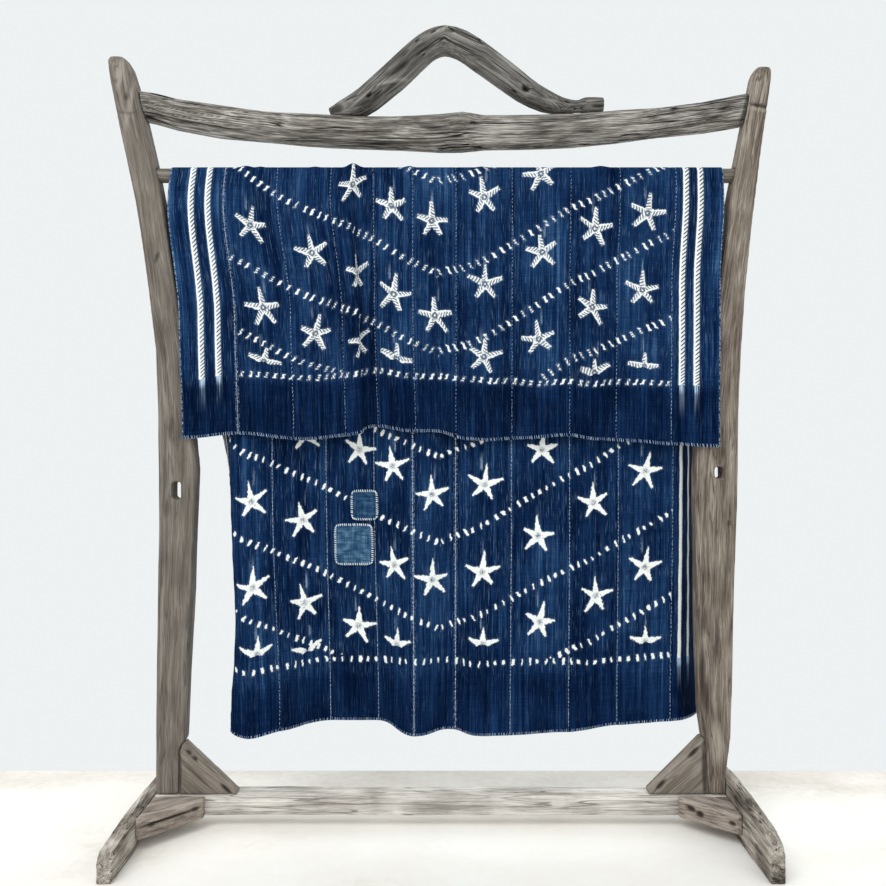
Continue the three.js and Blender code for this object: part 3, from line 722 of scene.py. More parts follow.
# Tones of a colour: a place from 0 to 1 and the screen colour there
INDIGO_TONES = (
    (0.0, (0, 14, 40)),
    (0.3, (9, 32, 66)),
    (0.55, (24, 54, 92)),
    (0.78, (54, 86, 123)),
    (1.0, (102, 133, 164)),
)
PATCH_TONES = (
    (0.0, (16, 42, 76)),
    (0.45, (50, 82, 112)),
    (0.75, (84, 116, 142)),
    (1.0, (134, 160, 178)),
)
# Floor tones; the darker, warmer ones show mostly where the floor is painted darker towards its back edge, as
# painted shade
FLOOR_TONES_AND_SHADE = ((0.2, (218, 211, 199)), (0.44, (247, 243, 236)), (0.7, (254, 253, 250)))
FLECK_BLUE = (104, 134, 166)
FADED_BLUE = (168, 192, 216)
SEWN_WHITE = (190, 210, 234)
RESIST_WHITE = (238, 241, 239)


def linear(red, green, blue):
    """A screen colour, from 0 to 255, as a linear shader colour."""
    values = np.array([red, green, blue]) / 255
    values = np.where(values <= 0.04045, values / 12.92, ((values + 0.055) / 1.055) ** 2.4)
    return (*values.tolist(), 1.0)


def feed(tree, value, socket):
    if isinstance(value, Field):
        tree.links.new(value.socket, socket)
    else:
        socket.default_value = value


class Field:
    """A value over a surface: a shader node's output, with arithmetic that adds math nodes."""

    def __init__(self, tree, socket):
        self.tree = tree
        self.socket = socket

    def op(self, operation, *others):
        node = self.tree.nodes.new("ShaderNodeMath")
        node.operation = operation
        for value, socket in zip((self, *others), node.inputs):
            feed(self.tree, value, socket)
        return Field(self.tree, node.outputs[0])

    def __add__(self, other):
        return self.op("ADD", other)

    def __sub__(self, other):
        return self.op("SUBTRACT", other)

    def __rsub__(self, other):
        return self * -1.0 + other

    def __mul__(self, other):
        return self.op("MULTIPLY", other)

    def __truediv__(self, other):
        return self.op("DIVIDE", other)

    __radd__ = __add__
    __rmul__ = __mul__

    def size(self):
        return self.op("ABSOLUTE")

    def least(self, other):
        return self.op("MINIMUM", other)

    def most(self, other):
        return self.op("MAXIMUM", other)

    def rises(self, low, high):
        """0 below low, 1 above high and eased between them."""
        node = self.tree.nodes.new("ShaderNodeMapRange")
        node.interpolation_type = "SMOOTHSTEP"
        feed(self.tree, self, node.inputs["Value"])
        node.inputs["From Min"].default_value = low
        node.inputs["From Max"].default_value = high
        return Field(self.tree, node.outputs["Result"])

    def falls(self, low, high):
        return 1.0 - self.rises(low, high)


class Paint:
    """The node tree of one material."""

    def __init__(self, name):
        self.material = bpy.data.materials.new(name)
        self.material.use_nodes = True
        self.tree = self.material.node_tree
        self.shader = self.tree.nodes["Principled BSDF"]

    def node(self, kind):
        return self.tree.nodes.new("ShaderNode" + kind)

    def read(self, name, output):
        node = self.node("Attribute")
        node.attribute_name = name
        return node.outputs[output]

    def attribute(self, name):
        return self.split(self.read(name, "Vector"))

    def number(self, name):
        return Field(self.tree, self.read(name, "Fac"))

    def position(self):
        return self.split(self.node("TexCoord").outputs["Object"])

    def split(self, socket):
        node = self.node("SeparateXYZ")
        self.tree.links.new(socket, node.inputs[0])
        return [Field(self.tree, output) for output in node.outputs]

    def vector(self, x, y, z):
        node = self.node("CombineXYZ")
        for value, socket in zip((x, y, z), node.inputs):
            feed(self.tree, value, socket)
        return node.outputs[0]

    def noise(self, x, y, z, detail=2.0, rough=0.5):
        node = self.node("TexNoise")
        self.tree.links.new(self.vector(x, y, z), node.inputs["Vector"])
        node.inputs["Scale"].default_value = 1.0
        node.inputs["Detail"].default_value = detail
        node.inputs["Roughness"].default_value = rough
        return Field(self.tree, node.outputs[0])

    def chance(self, x, y):
        """Three random values for each pair of numbers."""
        node = self.node("TexWhiteNoise")
        node.noise_dimensions = "3D"
        self.tree.links.new(self.vector(x, y, 0.5), node.inputs["Vector"])
        return self.split(node.outputs["Color"])

    def ramp(self, value, stops):
        node = self.node("ValToRGB")
        feed(self.tree, value, node.inputs["Fac"])
        elements = node.color_ramp.elements
        while len(elements) < len(stops):
            elements.new(0.5)
        for element, (at, colour) in zip(elements, stops):
            element.position = at
            element.color = linear(*colour)
        return Field(self.tree, node.outputs["Color"])

    def mix(self, amount, below, above):
        node = self.node("Mix")
        node.data_type = "RGBA"
        node.clamp_factor = True
        feed(self.tree, amount, node.inputs[0])
        for value, socket in ((below, node.inputs[6]), (above, node.inputs[7])):
            feed(self.tree, value if isinstance(value, Field) else linear(*value), socket)
        return Field(self.tree, node.outputs[2])

    def finish(self, colour, height, depth, rough, shine):
        """Colour, relief of a depth in metres, roughness and gloss."""
        feed(self.tree, colour, self.shader.inputs["Base Color"])
        feed(self.tree, rough, self.shader.inputs["Roughness"])
        self.shader.inputs["Specular IOR Level"].default_value = shine
        bump = self.node("Bump")
        bump.inputs["Distance"].default_value = depth
        bump.inputs["Strength"].default_value = BUMP_STRENGTH
        feed(self.tree, height, bump.inputs["Height"])
        self.tree.links.new(bump.outputs["Normal"], self.shader.inputs["Normal"])
        return self.material


# Sizes of a star, and how far off a lost arm is put
ARM_REACH = 31.0
ARM_REACH_CHANCE = 8.0
UPPER_ARM_LONGER = 5.0
ARM_WIDE_CHANCE = 1.6
LOST_ARM = 60.0
STAR_TURN = 0.42
ARM_BEND = 0.26
COMB_PITCH = 6.2
# Pitch of the stripes' slashes, heights between which the plain band at the foot ends, and fray at a seam
SLASH_PITCH = 8.4
PLAIN_BAND = (92.0, 122.0)
FRAY_REACH = 5.5


def star_mask(paint, u, s, hatched):
    """Signed distance to the nearest star's arms, how much blue covers them, and the dye run around it."""
    star_u, star_s, kind = paint.attribute("star")
    half = kind.op("GREATER_THAN", HALF_STAR - 0.5)
    seed = kind.op("FRACT")
    x = u - star_u
    bow = 0.003 if hatched else -0.001
    shorter = 10.0 if hatched else 2.0
    y = s - star_s + half * (x * x) * bow
    turn = (seed - 0.5) * STAR_TURN
    xr = x * turn.op("COSINE") - y * turn.op("SINE")
    yr = x * turn.op("SINE") + y * turn.op("COSINE")
    angle = xr.op("ARCTAN2", yr)
    step = 2 * np.pi / STAR_ARMS
    arm = (angle / step).op("ROUND")
    length_chance, bend_chance, wide_chance = paint.chance(kind * 37.7, arm)
    off = angle - arm * step + (bend_chance - 0.5) * ARM_BEND
    radius = (x * x + y * y).op("SQRT")
    along = radius * off.op("COSINE")
    across = radius * off.op("SINE")
    upward = arm.size().falls(0.2, 0.8)
    reach = ARM_REACH + length_chance * ARM_REACH_CHANCE + upward * UPPER_ARM_LONGER
    reach = reach - half * (2.0 + upward * shorter)
    taper = 0.5 if hatched else 0.76
    root = 6.6 if hatched else 7.4
    wide = (1.0 - along / reach * (taper + upward * 0.16)) * (root + wide_chance * ARM_WIDE_CHANCE)
    distance = (across.size() - wide).most(along - reach)
    distance = distance + half * arm.size().rises(1.4, 1.6) * LOST_ARM
    distance = distance + kind.op("GREATER_THAN", CAPPED_STAR - 0.5) * upward * LOST_ARM
    speck = paint.noise(u / 3.1, s / 3.1, seed * 50.0, detail=1)
    if hatched:
        mirror = wide_chance.rises(0.45, 0.55) * 2.0 - 1.0
        comb = (along / COMB_PITCH + across * mirror * 0.11 + length_chance).op("FRACT")
        teeth = (comb - 0.5).size().rises(0.17, 0.3)
        open_side = (across * mirror + wide * 0.38).rises(-0.6, 0.8)
        ladder = (across.size() - wide * 0.5).falls(-0.4, 0.8) * speck.rises(0.4, 0.6)
        cover = teeth * open_side.most(ladder * 0.7) * radius.rises(6.5, 9.0) * 0.85
        worn = radius + (speck - 0.5) * 7.0
        centre = (worn - 4.2).size().falls(1.5, 3.4) * 0.92
    else:
        cover = speck.rises(0.6, 0.74) * radius.falls(8.0, 22.0) * 0.5
        worn = radius + (speck - 0.5) * 13.0
        centre = worn.falls(3.6, 8.4) * (0.3 + speck.rises(0.42, 0.58) * 0.6)
    run = (x + turn * 40.0).size().falls(0.5, 4.0) * y.rises(26.0, 36.0) * y.falls(36.0, 72.0)
    return distance, cover.most(centre), run * (0.35 + length_chance * 0.3)


def dash_mask(paint, u, s, hatched):
    """Signed distance to the marks of the nearest dashed line."""
    line_u, line_s, angle = paint.attribute("line")
    cos = angle.op("COSINE")
    sin = angle.op("SINE")
    du = u - line_u
    ds = s - line_s
    along = du * cos + ds * sin
    across = ds * cos - du * sin
    cell = (along / DASH_PITCH).op("FLOOR")
    shift, lean, size = paint.chance(cell, line_s * 0.37)
    run = along - (cell + 0.5) * DASH_PITCH - (shift - 0.5) * 5.0
    if not hatched:
        bar = run + across * (lean - 0.5) * 0.45
        slab = (bar.size() - (1.4 + size * 2.2)).most(across.size() - (3.8 + shift * 3.4))
        return slab + (bar.size() * across.size()).op("SQRT") * 0.25 - 0.5
    x = run * cos - across * sin
    y = run * sin + across * cos
    mirrored = x * (1.0 - sin.rises(0.08, 0.2) * 2.0)
    steep = sin.size().rises(0.08, 0.2)
    bar = mirrored - y * (0.12 + lean * 0.22 + steep * 0.3)
    stroke = (bar.size() - (1.8 + size * 0.9)).most(y.size() - (4.6 + shift * 1.8))
    foot_x = mirrored + 3.4
    foot_y = y + 3.8 - foot_x * 0.3
    foot = (foot_x.size() - (1.6 + lean * 1.6)).most(foot_y.size() - 1.4)
    head_x = mirrored - 3.0 - steep * 1.2
    head = (head_x.size() - (0.8 + size * 1.4)).most((y - 4.2).size() - 1.2)
    return stroke.least(foot).least(head)


def stripe_mask(paint, u, s, hatched):
    """Signed distance to the nearest edge stripe, its blue slashes, and the dye run below its end."""
    stripe_u, level, lean = paint.attribute("line")
    across = u - stripe_u - (s - level) * lean
    if hatched:
        distance = ((across - 0.3).size() - STRIPE_HALF).most(level - STRIPE_BELOW - s)
        slash = ((s - across * 0.9) / SLASH_PITCH).op("FRACT")
        opening = across.rises(-3.0, 6.0) * 0.22
        cover = (slash - 0.5).size().rises(0.27, 0.36)
        cover = (cover + opening) * across.rises(-2.4, -1.2) * 0.95
        fray = across.rises(4.4, 6.2) * (slash - 0.5).size().rises(0.12, 0.3)
        cover = cover.most(fray)
    else:
        distance = (across.size() - 4.3).most(level - STRIPE_BELOW - s)
        cover = ((s / 5.2).op("FRACT") - 0.5).size().rises(0.36, 0.46) * across.rises(0.5, 2.5) * 0.4
    below = level - s
    spread = (across - 0.8).size().falls(2.5, 7.5) * below.rises(3.0, 9.0)
    run = spread * (below.falls(8.0, 30.0) * 1.5 + below.falls(14.0, 80.0) * 0.4)
    return distance, cover, run


Weave = namedtuple("Weave", "warp band cloud weft fleck ragged wobble_u wobble_s streaky mottle")


def woven(paint, u, q, shade):
    """Noises of the weave and of its uneven dye, by flat distance u and length q along a strip."""
    return Weave(
        warp=paint.noise(u / 1.5, q / 130, shade, detail=3),
        band=paint.noise(u / 8, q / 420, shade + 4.0, detail=3),
        cloud=paint.noise(u / 75, q / 150, 2.0),
        weft=paint.noise(u / 55, q / 1.7, 7.0),
        fleck=paint.noise(u / 1.2, q / 34, shade + 9.0, detail=1).rises(0.6, 0.74),
        ragged=paint.noise(u / 1.1, q / 45, 3.0),
        wobble_u=paint.noise(u / 6, q / 6, 11.0),
        wobble_s=paint.noise(u / 6, q / 6, 17.0),
        streaky=paint.noise(u / 3.0, q / 110, 29.0).rises(0.36, 0.62),
        mottle=paint.noise(u / 3.4, q / 4.2, 23.0),
    )


def resist_mask(paint, weave, u, s, kind, hatched):
    """Distance to the white marks, the blue that covers them and the dye run, with the cloth's unevenness."""
    wobble = 5.0 if hatched else 6.4
    u_dyed = u + (weave.wobble_u - 0.5) * wobble
    if kind == "edge":
        return stripe_mask(paint, u_dyed * 0.3 + u * 0.7, s + (weave.wobble_s - 0.5) * 1.6, hatched)
    s_dyed = s + (weave.wobble_s - 0.5) * wobble + (weave.ragged - 0.5) * 3.6
    distance, cover, run = star_mask(paint, u_dyed, s_dyed, hatched)
    return distance.least(dash_mask(paint, u_dyed, s_dyed, hatched)), cover, run


def seam_paint(paint, weave, q, from_seam):
    """How white the cloth is along its sewn sides: a broken line, and fray where the seam shows well."""
    sewn = paint.number("sewn")
    stitched = paint.noise(q / 5, sewn * 40.0, 5.0) + sewn * 0.16
    selvedge = from_seam.falls(0.2, 1.3) * stitched.rises(0.55, 0.7) * (0.16 + sewn * 0.6)
    fray = from_seam.falls(0.6, FRAY_REACH) * weave.mottle.rises(0.48, 0.62)
    fray = fray * sewn.rises(0.5, 0.9) * weave.warp.rises(0.4, 0.6)
    return selvedge.most(fray * 0.6)


def cloth_material(name, kind, hatched):
    """Dyed cloth of a kind, field or edge; its face has hatched stars and its reverse plain ones."""
    paint = Paint(name)
    flat_u, flat_q, shade = paint.attribute("flat")
    u, s, from_seam = paint.attribute("mark")
    weave = woven(paint, flat_u, flat_q, shade)
    warp = weave.warp
    weft = weave.weft
    distance, cover, run = resist_mask(paint, weave, u, s, kind, hatched)
    sewing = seam_paint(paint, weave, flat_q, from_seam)
    depth = 0.35 if hatched else 0.315
    tone = depth + (warp - 0.5) + (weave.band - 0.5) * 0.9 + (weave.cloud - 0.5) * 0.8 + (weft - 0.5) * 0.4
    if kind == "edge":
        outer = (u - CLOTH_WIDTH / 2).size().rises(CLOTH_WIDTH / 2 - 30, CLOTH_WIDTH / 2)
        tone = tone + outer * 0.18
        rim = u.least(CLOTH_WIDTH - u).falls(0.6, 4.0) * weave.mottle.rises(0.46, 0.6) * 0.5
        sewing = sewing.most(rim)
    plain_band = s.falls(*PLAIN_BAND)
    tone = tone + (shade - 0.5) * 0.12 - plain_band * (0.2 if hatched else 0.1)
    indigo = paint.ramp(tone, INDIGO_TONES)
    indigo = paint.mix(weave.fleck * (0.34 - plain_band * 0.22), indigo, FLECK_BLUE)
    faded = (distance.falls(-1.0, 4.0) * 0.12).most(run * weave.streaky) * (0.4 + warp)
    indigo = paint.mix(faded, indigo, FADED_BLUE)
    white = distance.falls(-0.7, 0.5) * (1.0 - cover) * (0.7 + warp * 0.26 + weave.mottle * 0.28)
    dyed = paint.mix(white, paint.mix(sewing, indigo, SEWN_WHITE), RESIST_WHITE)
    height = warp * 0.6 + weft * 0.5 + white * 0.5
    return paint.finish(dyed, height, 0.0012, CLOTH_ROUGH, CLOTH_SHINE)



def patch_material():
    paint = Paint("faded_indigo")
    u, t, shade = paint.attribute("flat")
    warp = paint.noise(u / 1.4, t / 60, shade, detail=3)
    weft = paint.noise(u / 40, t / 1.8, shade, detail=3)
    worn = paint.noise(u / 16, t / 12, shade + 3.0, detail=3)
    tone = 0.18 + shade * 0.3 + (warp - 0.5) * 1.3 + (weft - 0.5) * 0.9 + (worn - 0.5) * 1.3
    colour = paint.ramp(tone, PATCH_TONES)
    return paint.finish(colour, warp * 0.6 + weft * 0.7, 0.001, CLOTH_ROUGH, CLOTH_SHINE)


def thread_material(name, low, middle, high):
    paint = Paint(name)
    x, y, z = paint.position()
    soft = paint.noise(x * 90, y * 90, z * 45)
    twist = paint.noise(x * 900, y * 900, z * 900, detail=1)
    colour = paint.ramp(soft * 0.8 + twist * 0.2, ((0.3, low), (0.48, middle), (0.66, high)))
    return paint.finish(colour, twist, 0.0004, CLOTH_ROUGH, CLOTH_SHINE)


Wood = namedtuple("Wood", "dark middle light crack cracks fibre blotch reach", defaults=(520,))
WOODS = {
    "post": Wood((74, 68, 61), (114, 107, 99), (152, 145, 137), (44, 38, 33), 0.35, 0.7, 0.45),
    "post_warm": Wood((68, 57, 47), (121, 111, 101), (172, 162, 150), (40, 32, 26), 0.5, 1.1, 0.6),
    "rail": Wood((30, 26, 23), (122, 117, 111), (192, 188, 182), (18, 15, 13), 1.0, 1.6, 0.7, 1500),
    "branch": Wood((30, 28, 26), (103, 101, 97), (150, 148, 143), (18, 16, 14), 0.9, 1.0, 1.0),
    "rod": Wood((66, 61, 55), (116, 109, 101), (152, 146, 138), (32, 28, 24), 0.4, 0.8, 0.5),
    "beam": Wood((138, 131, 123), (203, 197, 190), (240, 234, 227), (80, 72, 64), 0.6, 0.8, 1.0),
    "gusset": Wood((84, 77, 69), (128, 119, 109), (168, 160, 150), (40, 33, 28), 0.3, 0.8, 0.5),
    "foot": Wood((60, 54, 47), (150, 141, 130), (214, 207, 197), (28, 23, 19), 0.85, 0.9, 1.3),
    "brace": Wood((92, 83, 76), (158, 146, 136), (202, 191, 181), (36, 29, 24), 0.5, 0.8, 0.9),
}


def wood_material(name, look):
    paint = Paint(name)
    along, side, face = paint.attribute("grain")
    marks_and_shade = paint.number("marks_and_shade")
    wander = paint.noise(along / 170, side / 55, face / 55, detail=1)
    side_w = side + (wander - 0.5) * 16.0
    face_w = face + (wander - 0.5) * 12.0
    fibre = paint.noise(along / 42, side_w / 1.5, face_w / 1.5, detail=3, rough=0.6)
    streak = paint.noise(along / 190, side_w / 8, face_w / 8, detail=4, rough=0.6)
    blotch = paint.noise(along / 80, side / 38, face / 38, detail=3)
    vein = paint.noise(along / look.reach, side_w / 22, face_w / 22)
    gate = paint.noise(along / 330, side / 20, face / 20, detail=1).rises(0.4, 0.52)
    split = ((vein * 10.0).op("FRACT") - 0.5).size().falls(0.03, 0.13) * gate
    tone = 0.5 + (fibre - 0.5) * look.fibre + (streak - 0.5) * 1.1 + (blotch - 0.5) * look.blotch
    colour = paint.ramp(tone, ((0.12, look.dark), (0.5, look.middle), (0.86, look.light)))
    # Cracks and dark marks take the crack colour; the marks include bands of painted shade where timbers
    # meet, and marks below zero are painted pale
    cracks_and_shade = (split * look.cracks).most(marks_and_shade)
    colour = paint.mix(marks_and_shade * -1.0, colour, look.light)
    colour = paint.mix(cracks_and_shade, colour, look.crack)
    height = fibre * 0.5 + streak * 0.8 - cracks_and_shade * 1.6
    return paint.finish(colour, height, 0.004, WOOD_ROUGH, WOOD_SHINE)


def floor_material():
    paint = Paint("pale_floor")
    x, y, _ = paint.position()
    broad = paint.noise(x * 2.2, y * 4.0, 0.0, detail=4, rough=0.6)
    fine = paint.noise(x * 60, y * 60, 3.0, detail=3)
    # The floor is painted darker and warmer towards its back edge: painted shade
    tone = broad * 0.8 + fine * 0.2 - y.rises(0.0, 0.27) * 0.16
    return paint.finish(paint.ramp(tone, FLOOR_TONES_AND_SHADE), fine, 0.0006, FLOOR_ROUGH, FLOOR_SHINE)


# Timber


def centre_line(values, others, bins=40):
    """Mean of the other coordinates along a piece, so that grain follows a bend."""
    edges = np.linspace(values.min(), values.max(), bins + 1)
    place = np.clip(np.digitize(values, edges) - 1, 0, bins - 1)
    middles = (edges[:-1] + edges[1:]) / 2
    count = np.bincount(place, minlength=bins)
    kept = count > 0
    lines = []
    for column in others.T:
        low = np.full(bins, np.inf)
        high = np.full(bins, -np.inf)
        np.minimum.at(low, place, column)
        np.maximum.at(high, place, column)
        lines.append(np.interp(values, middles[kept], (low[kept] + high[kept]) / 2))
    return np.stack(lines, axis=-1)


BRANCH_LINE = np.array(
    [
        (-222, 1440), (-161, 1466), (-117, 1501), (-45, 1567), (8, 1595),
        (90, 1556), (180, 1490), (262, 1461), (334, 1464),
    ],
    float,
)


def branch_grain(points):
    """Distance along the bent branch, and off it in its plane and in depth."""
    length = np.linalg.norm(np.diff(BRANCH_LINE, axis=0), axis=1)
    before = np.concatenate([[0], np.cumsum(length)[:-1]])
    best, _, along, beside = nearest_segment(points[:, [0, 2]], BRANCH_LINE[:-1], BRANCH_LINE[1:])
    return np.stack([before[best] + along, beside, points[:, 1]], axis=-1)



def straight_grain(points, direction, bent):
    """Distance along a direction, and off it; off the piece's own centre line where the piece is bent."""
    direction = unit(np.array(direction, float))
    helper = Y_AXIS if abs(direction[1]) < 0.9 else X_AXIS
    side = unit(np.cross(direction, helper))
    face = np.cross(direction, side)
    along = points @ direction
    others = np.stack([points @ side, points @ face], axis=-1)
    if bent:
        others = others - centre_line(along, others)
    return np.concatenate([along[:, None], others], axis=-1)


# Each timber: its paint and slot, the way of its grain, the step and softening of its mesh, and how
# deep it is worn and split; the branch has no one way and follows its own line
Timber = namedtuple("Timber", "node look slot grain bent voxel soft rough split")
X_AXIS, Y_AXIS, Z_AXIS = np.eye(3)
TIMBERS = (
    Timber("post_left", "post", "grey_wood", Z_AXIS, True, 3.4, 1, 0.5, 0.4),
    Timber("post_right", "post_warm", "grey_wood", Z_AXIS, True, 3.4, 1, 0.5, 0.4),
    Timber("rail", "rail", "grey_wood", X_AXIS, True, 2.6, 3, 1.1, 2.4),
    Timber("handle", "branch", "grey_wood", None, True, 2.6, 3, 0.9, 1.0),
    Timber("rod", "rod", "grey_wood", X_AXIS, False, 3.4, 2, 0.2, 0.3),
    Timber("stretcher", "beam", "pale_wood", X_AXIS, False, 3.4, 2, 1.4, 1.4),
    Timber("foot_left", "foot", "pale_wood", Y_AXIS, False, 3.0, 2, 0.5, 0.7),
    Timber("foot_right", "foot", "pale_wood", Y_AXIS, False, 3.0, 2, 0.5, 0.7),
    Timber("gusset_left", "gusset", "grey_wood", (136, 0, -110), False, 2.3, 1, 0.4, 0.5),
    Timber("gusset_right", "gusset", "grey_wood", (129, 0, 116), False, 2.3, 1, 0.4, 0.5),
    Timber("brace_left", "brace", "pale_wood", (95, 72, 0), False, 2.3, 1, 0.5, 0.7),
    Timber("brace_right", "brace", "pale_wood", (94, -89, 0), False, 2.3, 1, 0.5, 0.7),
)

# Knots, holes, gouges and worn places on the front of a timber, and dark bands of painted shade where it
# meets another piece: place, half sizes along and across a slope in degrees, depth, and how dark they are or,
# below zero, how pale
Scar = namedtuple("Scar", "x z long across slope depth tone")
SCARS_AND_SHADE = {
    "handle": (
        Scar(173, 1488, 13, 11, -35, -1, -0.5),
        Scar(173, 1488, 8, 6, -35, 8, 1),
        Scar(-84, 1526, 26, 5, 38, 4, 0.85),
        Scar(-99, 1501, 35, 3, 16, -2, -0.8),
        Scar(-156, 1471, 30, 3, 40, -1.5, -0.6),
        Scar(-143, 1474, 6, 3, 40, 4, 1),
        Scar(-212, 1447, 16, 13, 30, 3, 0.8),
        Scar(322, 1456, 12, 3, 0, 3, 0.7),
        Scar(20, 1604, 9, 4, -10, 3, 0.6),
    ),
    "post_left": (
        Scar(-648, 1520, 34, 7, 82, 0.4, -0.9),
        Scar(-628, 1455, 44, 5, 80, 0.4, -0.8),
        Scar(-655, 1504, 5, 4, 80, 1.5, 0.5),
        Scar(-634, 1472, 7, 4, 80, 2, 0.6),
        Scar(-636, 1440, 24, 3, -4, 1.2, 0.4),
        Scar(-572, 1147, 11, 3, 76, 1.5, 0.7),
        Scar(-543, 805, 22, 5, 82, 1.5, 0.45),
        Scar(-551, 640, 18, 4, 86, 2, 0.5),
    ),
    "post_right": (
        Scar(646, 1455, 24, 3, -11, 2.4, 0.9),
        Scar(646, 1446, 22, 4, -11, -1, -0.5),
        Scar(535, 417, 30, 4, 88, 1.5, 0.8),
        Scar(531, 300, 55, 6, 90, 1.5, 0.85),
        Scar(560, 380, 60, 4, 88, 2, 0.6),
        Scar(585, 610, 6, 4, 88, 2, 0.6),
        Scar(537, 262, 38, 6, 92, 2.5, 0.85),
        # Darkens the post's left edge low down, where it is in shade: painted shade
        Scar(528, 205, 40, 6, 100, 2, 0.75),
        Scar(560, 165, 42, 13, 95, -0.6, -0.55),
    ),
    "rail": (
        # A dark band along the rail's end where it meets the right post: painted shade
        Scar(620, 1452, 36, 5, 76, 0.8, 0.8),
        Scar(36, 1425, 22, 10, 0, -3, 0),
        Scar(120, 1412, 40, 4, -2, 0.5, -0.6),
        Scar(-20, 1410, 22, 4, 1, 2, 0.8),
    ),
    "gusset_left": (
        Scar(-507, 147, 7, 3, -44, 2, 0.9),
        Scar(-495, 135, 6, 3, -44, 2, 0.9),
        Scar(-432, 73, 15, 3.5, -44, 3, 0.95),
        Scar(-492, 100, 36, 2.4, -42, 0.6, 0.6),
        # A dark line along the gap between the gusset and the post: painted shade
        Scar(-526, 108, 50, 3, 90, 1, 0.8),
    ),
    "gusset_right": (
        Scar(512, 147, 14, 4, 46, 2.5, 0.9),
        Scar(446, 82, 13, 4, 46, 2.5, 0.9),
        # A dark line along the gap between the gusset and the post: painted shade
        Scar(535, 112, 58, 5, 92, 1, 0.8),
    ),
    "brace_left": (
        Scar(-527, 46, 44, 3, 0, 3, 0.95),
        Scar(-550, 45, 6, 4, 0, 3, 0.9),
        Scar(-485, 47, 7, 4, 0, 2, 0.9),
    ),
    "brace_right": (
        Scar(498, 47, 8, 5, -20, 3, 0.95),
        Scar(512, 41, 6, 6, 0, 3, 0.95),
        Scar(562, 41, 5, 4, 0, 3, 0.9),
    ),
}


# Sizes of the wood's relief, along the grain and twice across it
SWELL_SIZE = np.array([150, 40, 40])
RIDGE_SIZE = np.array([75, 7.5, 7.5])
VEIN_SIZE = np.array([420, 15, 15])
GATE_SIZE = np.array([260, 26, 26])
VEIN_HALF = 0.15
GRAIN_SHIFT = 900


def waves(points):
    return np.array([noise.noise(Vector(point)) for point in points.tolist()])


def worn_copy(timber):
    """An even mesh over a CAD timber, with its sharp edges worn round."""
    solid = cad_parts[timber.node]
    obj = bpy.data.objects.new("wood_" + timber.node, solid.data.copy())
    bpy.context.scene.collection.objects.link(obj)
    remesh = obj.modifiers.new("remesh", "REMESH")
    remesh.mode = "VOXEL"
    remesh.voxel_size = timber.voxel * MM
    soften = obj.modifiers.new("soften", "SMOOTH")
    soften.factor = 0.5
    soften.iterations = timber.soft
    depsgraph = bpy.context.evaluated_depsgraph_get()
    mesh = bpy.data.meshes.new_from_object(obj.evaluated_get(depsgraph))
    obj.modifiers.clear()
    obj.data = mesh
    return obj


def vertex_rows(mesh, key):
    rows = np.empty(len(mesh.vertices) * 3)
    mesh.vertices.foreach_get(key, rows)
    return rows.reshape(-1, 3)


def scar_share(scar, points, normals):
    """How far a scar reaches each point, from 0 to 1, on faces turned to the front."""
    slope = np.radians(scar.slope)
    dx = points[:, 0] - scar.x
    dz = points[:, 2] - scar.z
    run = (dx * np.cos(slope) + dz * np.sin(slope)) / scar.long
    off = (dz * np.cos(slope) - dx * np.sin(slope)) / scar.across
    return ease(1.5 - np.sqrt(run**2 + off**2)) * np.clip(-normals[:, 1] * 2, 0, 1)


def weathered(timber):
    """A CAD timber as a worn, grained mesh, with its grain coordinates and its dark and pale marks, painted
    shade among them, kept for the paint.
    """
    obj = worn_copy(timber)
    mesh = obj.data
    points = vertex_rows(mesh, "co") / MM
    normals = vertex_rows(mesh, "normal")
    if timber.grain is None:
        grain = branch_grain(points)
    else:
        grain = straight_grain(points, timber.grain, timber.bent)
    grain = grain + np.array([rng.uniform(0, GRAIN_SHIFT), 0, 0])
    swell = waves(grain / SWELL_SIZE)
    ridge = waves(grain / RIDGE_SIZE)
    vein = np.abs(waves(grain / VEIN_SIZE + 31.7))
    gate = ease(1.4 * waves(grain / GATE_SIZE + 7.3) + 0.8)
    split = ease(1 - vein / VEIN_HALF) * gate
    rise = timber.rough * (0.9 * swell + 0.6 * ridge) - timber.split * split
    dark = 0.4 * split * min(1.0, timber.split / 2)
    pale = np.zeros(len(points))
    # Scars darken or lighten the paint; some of them are bands of painted shade where timbers meet
    for scar in SCARS_AND_SHADE.get(timber.node, ()):
        pit = scar_share(scar, points, normals)
        rise -= scar.depth * pit
        dark = np.maximum(dark, scar.tone * pit)
        pale = np.maximum(pale, -scar.tone * pit)
    moved = points + normals * rise[:, None]
    moved[:, 2] = np.maximum(moved[:, 2], 0)
    mesh.vertices.foreach_set("co", (moved * MM).ravel())
    mesh.polygons.foreach_set("use_smooth", np.ones(len(mesh.polygons), bool))
    set_attribute(obj, "grain", "POINT", grain)
    set_attribute(obj, "marks_and_shade", "POINT", dark - pale * (1 - dark))
    mesh.materials.clear()
    mesh.materials.append(WOOD_PAINT[timber.look])
    mesh.update()
    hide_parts(timber.node)
    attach(obj, "root")



CLOTH = {
    ("field", "face"): cloth_material("indigo_field", "field", True),
    ("field", "reverse"): cloth_material("indigo_field_reverse", "field", False),
    ("edge", "face"): cloth_material("indigo_edge", "edge", True),
    ("edge", "reverse"): cloth_material("indigo_edge_reverse", "edge", False),
}
WOOD_PAINT = {name: wood_material("weathered_" + name, look) for name, look in WOODS.items()}
THREAD_PAINT = thread_material("white_thread", (104, 136, 180), (172, 197, 226), (218, 230, 243))
PATCH_THREAD_PAINT = thread_material("patch_thread", (186, 200, 214), (228, 235, 240), (247, 249, 249))
PATCH_PAINT = patch_material()

for timber in TIMBERS:
    weathered(timber)

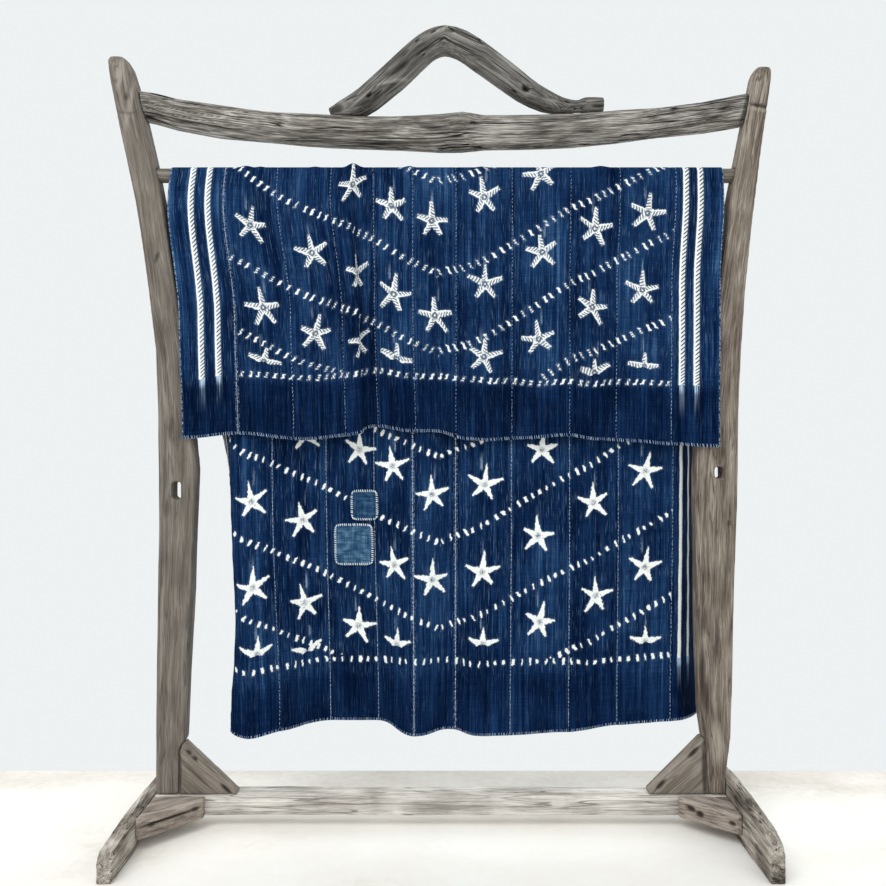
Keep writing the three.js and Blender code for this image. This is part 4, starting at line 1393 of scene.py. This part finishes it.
for strip, width in enumerate(STRIP_WIDTHS, start=1):
    cloth = make_strip(strip)
    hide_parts(f"strip_{strip:02d}")
    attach(cloth, "root")
    sewing = strip_stitches(strip, THREAD_PAINT)
    for piece in sewing:
        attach(piece, "root")
    flat_size = (width * MM, float(cloth_length(STRIP_MIDDLES[strip - 1])) * MM)

for patch in PATCHES:
    cloth = make_patch(patch, PATCH_PAINT)
    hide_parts(patch.node)
    sewing = patch_stitches(patch, PATCH_THREAD_PAINT)
    for piece in (cloth, sewing):
        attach(piece, "root")
    flat_size = ((patch.right - patch.left) * MM, (patch.bottom - patch.top) * MM)

# Floor, light and camera
FLOOR_HALF, FLOOR_FRONT, FLOOR_BACK = 3000, -3200, 268
corners = [
    (-FLOOR_HALF, FLOOR_FRONT, 0),
    (FLOOR_HALF, FLOOR_FRONT, 0),
    (FLOOR_HALF, FLOOR_BACK, 0),
    (-FLOOR_HALF, FLOOR_BACK, 0),
]
floor = new_object("floor", np.array(corners, float), [(0, 1, 2, 3)])
floor.data.materials.append(floor_material())


def area_light(name, place, target, size, watts, colour):
    data = bpy.data.lights.new(name, "AREA")
    data.size = size
    data.energy = watts
    data.color = colour
    light = bpy.data.objects.new(name, data)
    light.location = place
    light.rotation_euler = (Vector(target) - Vector(place)).to_track_quat("-Z", "Y").to_euler()
    bpy.context.scene.collection.objects.link(light)


area_light("key_light", (-1.4, -2.2, 3.6), (0, 0, 0.7), size=2.2, watts=62, colour=(1.0, 0.99, 0.97))
area_light("fill_light", (2.4, -2.8, 2.0), (0, 0, 0.8), size=2.4, watts=12, colour=(0.97, 0.99, 1.0))
area_light("back_light", (0.6, 2.6, 3.0), (0, 0, 0.9), size=2.4, watts=24, colour=(1.0, 1.0, 1.0))

WALL_COLOUR = (244, 248, 249)
WALL_STRENGTH = 0.94
world = bpy.data.worlds.new("studio")
world.use_nodes = True
background = world.node_tree.nodes["Background"]
background.inputs["Color"].default_value = linear(*WALL_COLOUR)
background.inputs["Strength"].default_value = WALL_STRENGTH
bpy.context.scene.world = world

IMAGE_SIZE = 886
FOCAL_PIXELS = 880
CENTRE_X, HORIZON_Y = 440, 435
SENSOR = 36.0
CAMERA_PLACE = (0.0, -1.8, 0.789)
camera_data = bpy.data.cameras.new("camera")
camera_data.sensor_width = SENSOR
camera_data.lens = SENSOR * FOCAL_PIXELS / IMAGE_SIZE
camera_data.shift_x = (IMAGE_SIZE / 2 - CENTRE_X) / IMAGE_SIZE
camera_data.shift_y = (HORIZON_Y - IMAGE_SIZE / 2) / IMAGE_SIZE
camera = bpy.data.objects.new("camera", camera_data)
camera.location = CAMERA_PLACE
camera.rotation_euler = (np.pi / 2, 0.0, 0.0)
bpy.context.scene.collection.objects.link(camera)
bpy.context.scene.camera = camera
bpy.context.scene.view_settings.view_transform = "Standard"
